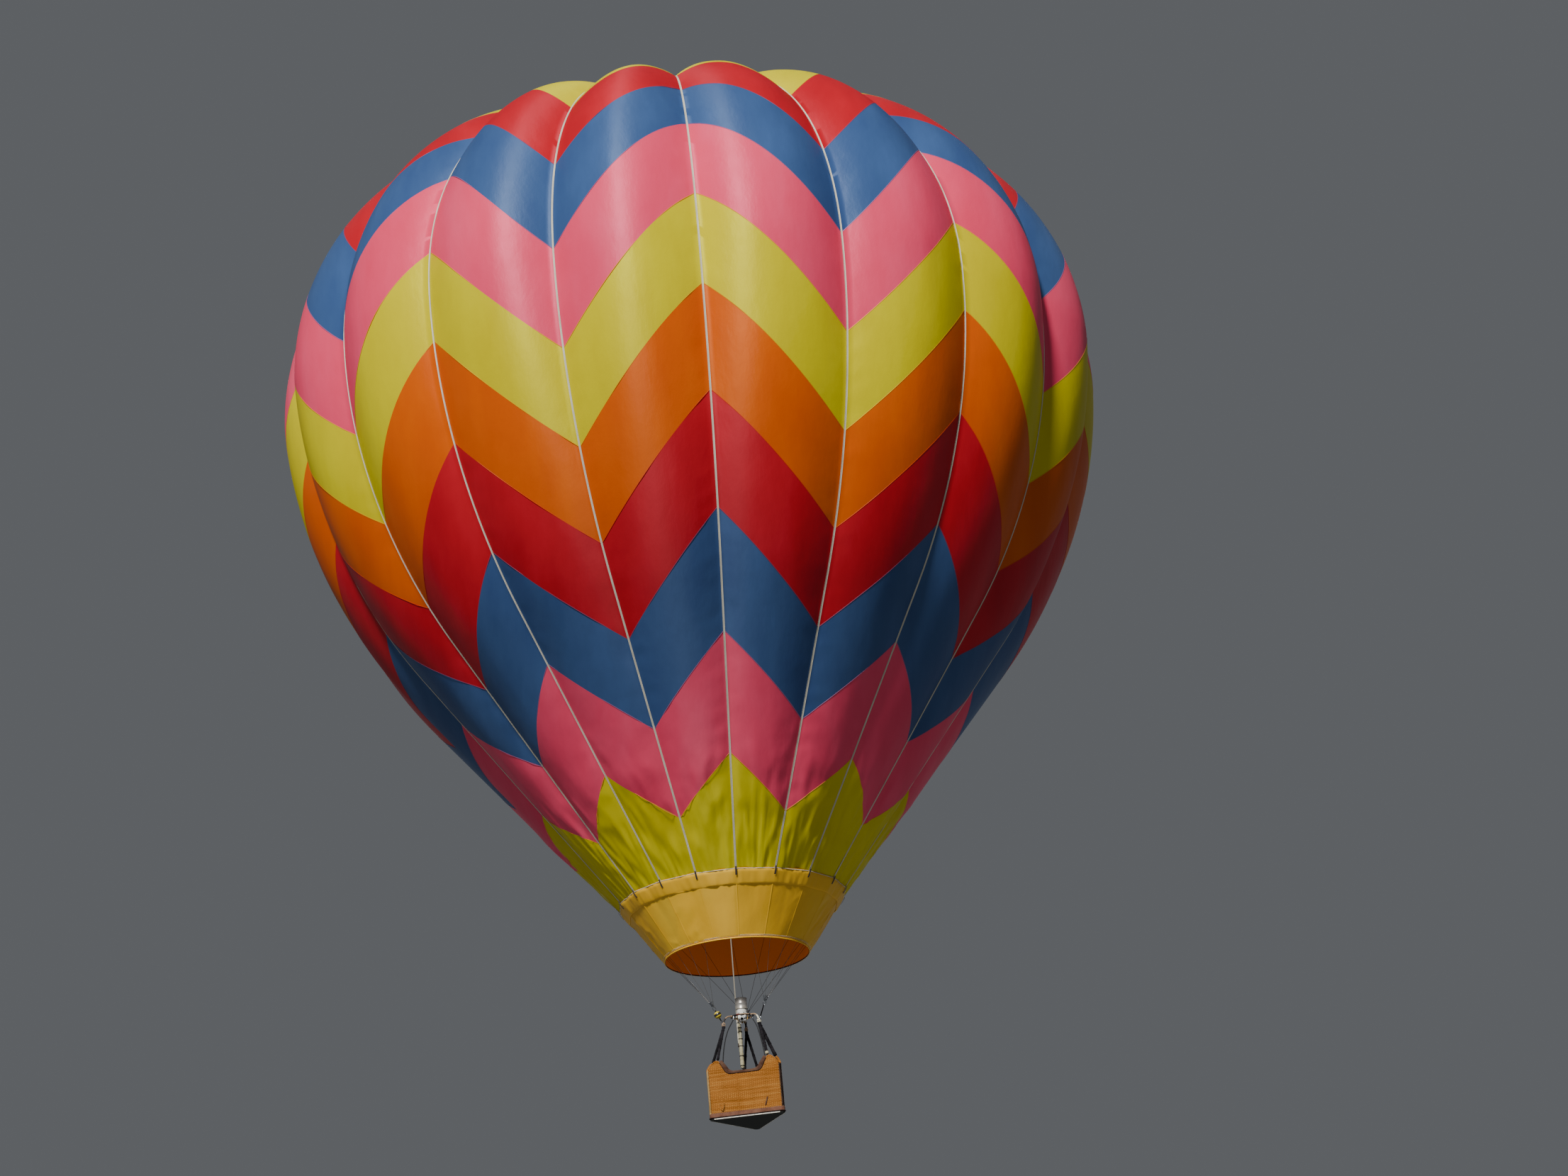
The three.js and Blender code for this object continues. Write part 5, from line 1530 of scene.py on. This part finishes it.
def corner_strip(index, hide, lace):
    """The hide over a corner's wicker, laced down both its edges."""
    start = STRAIGHT_HALF + 0.022
    strips, laces = [], []
    ends = zip((SIDES[(index + 1) % 3][1], SIDES[index][1]), wall_ends(start, EDGE_REACH), (-1, 1))
    for azimuth, (low, high), sign in ends:
        along = np.linspace(low, high, 14)
        height = (WALL_BOTTOM + 0.085
                  + np.linspace(0, 1, 70)[:, None] * (wall_top(along) - WALL_BOTTOM - 0.083))
        crumple = 0.0012 * noise(along * 30, height * 9, 81 + index)
        tuck = 0.006 * np.exp(-np.abs(np.abs(along) - start) / 0.003)
        strips.append(grid(side_points(azimuth, along, tuck - crumple - 0.0055, height)))
        across = np.array([start - 0.012, start, start + 0.014]) * sign
        for z in np.arange(WALL_BOTTOM + 0.12, float(wall_top(start)) - 0.03, CORNER_LACE_PITCH):
            laces.append(tube(side_points(azimuth, across, np.array([-0.002, -0.0075, -0.0065]),
                                          z + np.array([0.0, 0.004, 0.010])), 0.0024, 6))
    piece(f"corner_strip_{CORNERS[index][0]}", [(strips, hide), (laces, lace)], slot="dark_leather",
          replaces=[f"basket_wall_{SIDES[index][0]}"], crease=60)


def make_hide_band(hide, thread, shade_and_stitch_hide):
    """The hide round the foot of the walls, laced along its top edge, and under it a dark tube, painted
    shade in the gap above the floor's strip.
    """
    along = np.linspace(-EDGE_REACH, EDGE_REACH, 160)
    bottom = WALL_BOTTOM + 0.004
    top = bottom + BAND_HEIGHT
    # Up the band: inset, height, whether it swells there
    section = [(-0.0005, bottom, 0), (-0.0085, bottom + 0.002, 1), (-0.0095, bottom + 0.03, 1),
               (-0.009, top - 0.03, 1), (-0.008, top - 0.003, 1), (-0.0005, top, 0)]
    laps, laces, shade_lines = [], [], []
    for _, azimuth in SIDES:
        rows = []
        for inset, height, swells in section:
            swell = 0.002 * noise(along * 8, height * 30, 71) * swells
            ripple = 0.003 * noise(along * 10, 7.7, 72) * (height > top - 0.01)
            rows.append(side_points(azimuth, along, inset - swell, height + ripple))
        laps.append(grid(rows))
        # Painted shade: a dark tube along the foot of the band.
        shade_lines.append(tube(side_points(azimuth, along, -0.009, bottom), 0.0135, 10))
        for place in np.arange(-EDGE_REACH + 0.03, EDGE_REACH - 0.02, BAND_LACE_PITCH):
            lace = side_points(azimuth, place + np.array([0, 0.008, 0.016]), -0.0105,
                               top + np.array([-0.014, 0.0, 0.012]))
            laces.append(tube(lace, 0.0022, 6))
    piece("hide_band", [(laps, hide), (laces, thread), (shade_lines, shade_and_stitch_hide)], slot="rawhide",
          replaces=["scuff_band"])


def make_floor_strip(name, azimuth, paint, thread):
    bar = block(FLOOR_STRIP_SIZE, 0.003).at((0, -SIDE_DISTANCE - 0.0075, 0.010))
    screws = []
    for x in np.linspace(-0.62, 0.62, FLOOR_SCREWS):
        screws += bolt(0.0045, 0.003, (x, -SIDE_DISTANCE - 0.0135, 0.010), (x, -2, 0.010))
    piece(f"strip_{name}", [(bar, paint), (screws, thread)], slot="white_paint",
          replaces=[f"floor_edge_{name}"], at=((0, 0, FLOOR_Z), azimuth))


def make_straps(tan, dark):
    """A strap that hangs in a loop on the near wall, and a slanting one."""
    azimuth = SIDES[0][1]
    turn = np.linspace(0, math.pi, 15)
    loop = side_points(azimuth, -0.48 + 0.048 * np.cos(turn), -0.012 - 0.02 * np.sin(turn),
                       0.31 - 0.14 * np.sin(turn))
    slant = side_points(azimuth, np.linspace(0.435, 0.385, 12), -0.013, np.linspace(0.34, 0.18, 12))
    piece("strap_loop", [(ribbon(loop, around(1, azimuth, 0), 0.03, 0.006), tan),
                         (ribbon(slant, sideways(azimuth), 0.024, 0.006), dark)], slot="dark_leather")


def make_basket():
    # The first colour is painted shade for the gaps between strands.
    cane = wicker_finish("wicker", 0x4C2A0A, 0xAE7032, 0xC28A46)
    leather = leather_finish("dark_leather", 0x5A4034, 0x422C22, 0x70543F)
    lining = leather_finish("lining_leather", 0x5C4030, 0x443024, 0x745440, grain=60)
    # Dark leather for stitches and laces, also painted shade: the tubes under the binding's roll and along
    # the walls' foot, and the hide of the shaded corners.
    shade_and_stitch_hide = leather_finish("stitch_leather_and_painted_shade", 0x2A1C1A, 0x1A1210, 0x3E2C28)
    hide = leather_finish("rawhide", 0x765040, 0x5E3E2E, 0x88624E, grain=60)
    # Painted light: a sunlit golden copy of the corners' hide, for the left corner.
    sunlit_hide = leather_finish("corner_hide_painted_light", 0xB8935A, 0xA07C46, 0xD0AC74, grain=60)
    tan = leather_finish("strap_leather", 0xA87840, 0x86582C, 0xC0945A)
    thread = braid_finish("thread", 0xB49A78, 0x8C7456, 0.004, roughness=0.8)
    board = wood_finish("floor_board", 0x161A12, 0x0C0F09, 0.8)
    paint = plain_finish("strip_paint", 0xE8E4D6, 0xC8C2B0, 0.45)
    for name, azimuth in SIDES:
        make_wall(name, azimuth, cane)
        make_binding(name, azimuth, leather, shade_and_stitch_hide)
        make_rim(name, azimuth, cane)
        make_lining(name, azimuth, lining)
    for index, (name, _) in enumerate(CORNERS):
        # The corners' hide is painted light and shade: golden on the left corner as if sunlit, dark on the
        # others as if shaded.
        corner_strip(index, *((sunlit_hide, shade_and_stitch_hide) if name == "left" else (shade_and_stitch_hide, thread)))
    make_hide_band(hide, thread, shade_and_stitch_hide)
    for name, azimuth in SIDES:
        make_floor_strip(name, azimuth, paint, thread)
    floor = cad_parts["basket_floor"]
    floor.data.materials.clear()
    floor.data.materials.append(board)
    make_straps(tan, leather)


def make_lights():
    world = bpy.data.worlds.new("studio")
    bpy.context.scene.world = world
    world.use_nodes = True
    background = world.node_tree.nodes["Background"]
    background.inputs["Color"].default_value = (0.82, 0.86, 0.92, 1)
    background.inputs["Strength"].default_value = BACKGROUND_STRENGTH
    for name, azimuth, elevation, energy, spread in STUDIO_LIGHTS:
        light = bpy.data.objects.new(name, bpy.data.lights.new(name, "SUN"))
        light.data.energy = energy
        light.data.angle = math.radians(spread)
        bpy.context.scene.collection.objects.link(light)
        light.visible_glossy = name == "key"
        azimuth, elevation = math.radians(azimuth), math.radians(elevation)
        toward = polar(math.cos(elevation), azimuth, math.sin(elevation))
        light.rotation_euler = toward.to_track_quat("Z", "Y").to_euler()


def make_studio_floor():
    z = CAMERA_PLACE.z - CAMERA_OVER_FLOOR
    finish = Finish("studio_floor", 0xB8B8B6, 0.9)
    disc = lathe([(0, 0), (STUDIO_FLOOR_RADIUS, 0)], 96).at((0, 0, z))
    mesh = bpy.data.meshes.new("studio_floor")
    mesh.from_pydata(disc.points.tolist(), [], disc.faces)
    mesh.materials.append(finish.material)
    floor = bpy.data.objects.new("studio_floor", mesh)
    bpy.context.scene.collection.objects.link(floor)


make_camera()
make_lights()
make_studio_floor()
steel = metal_finish("bright_steel", 0xB4B8BC, 0x888C90, 0.3)
dark_steel = metal_finish("dark_steel", 0x3A3836, 0x262422, 0.42)
black = leather_finish("cover_leather", 0x1E1C1E, 0x121113, 0x343034, grain=70)
tan = leather_finish("sleeve_hide", 0xAFA684, 0x948A68, 0xC4BC9C, grain=70)
fuel_looks = {
    "metal": metal_finish("cylinder_metal", 0xA6A8AA, 0x84878A, 0.4, scratches=0.35),
    "brass": metal_finish("valve_brass", 0xB08A48, 0x8A6A34, 0.35),
    "steel": steel,
    "trim": plain_finish("strap_black", 0x202022, 0x141416, 0.6),
    "jacket": leather_finish("jacket_cloth", 0x6A4A36, 0x503626, 0x805E48, grain=60),
    "rubber": braid_finish("hose_rubber", 0x222224, 0x131314, 0.006, roughness=0.6),
}
for name, azimuth in CORNERS:
    make_fuel(name, azimuth, fuel_looks)
make_hose_sleeve(tan, black)
cloths = make_envelope()
webbing = make_tapes()
make_vent(cloths["yellow"], webbing)
make_vent_lines()
make_skirt()
cable = braid_finish("steel_cable", 0x94928E, 0x6A6864, 0.01, roughness=0.4, metallic=0.5)
for number, (name, azimuth) in enumerate(CORNERS):
    make_suspension(name, azimuth, cable, black, steel)
    make_covers(number, black, tan)
make_ball()
make_load_frame(steel)
make_gimbal(steel, dark_steel)
make_burner(steel)
make_basket()

bpy.context.view_layer.update()
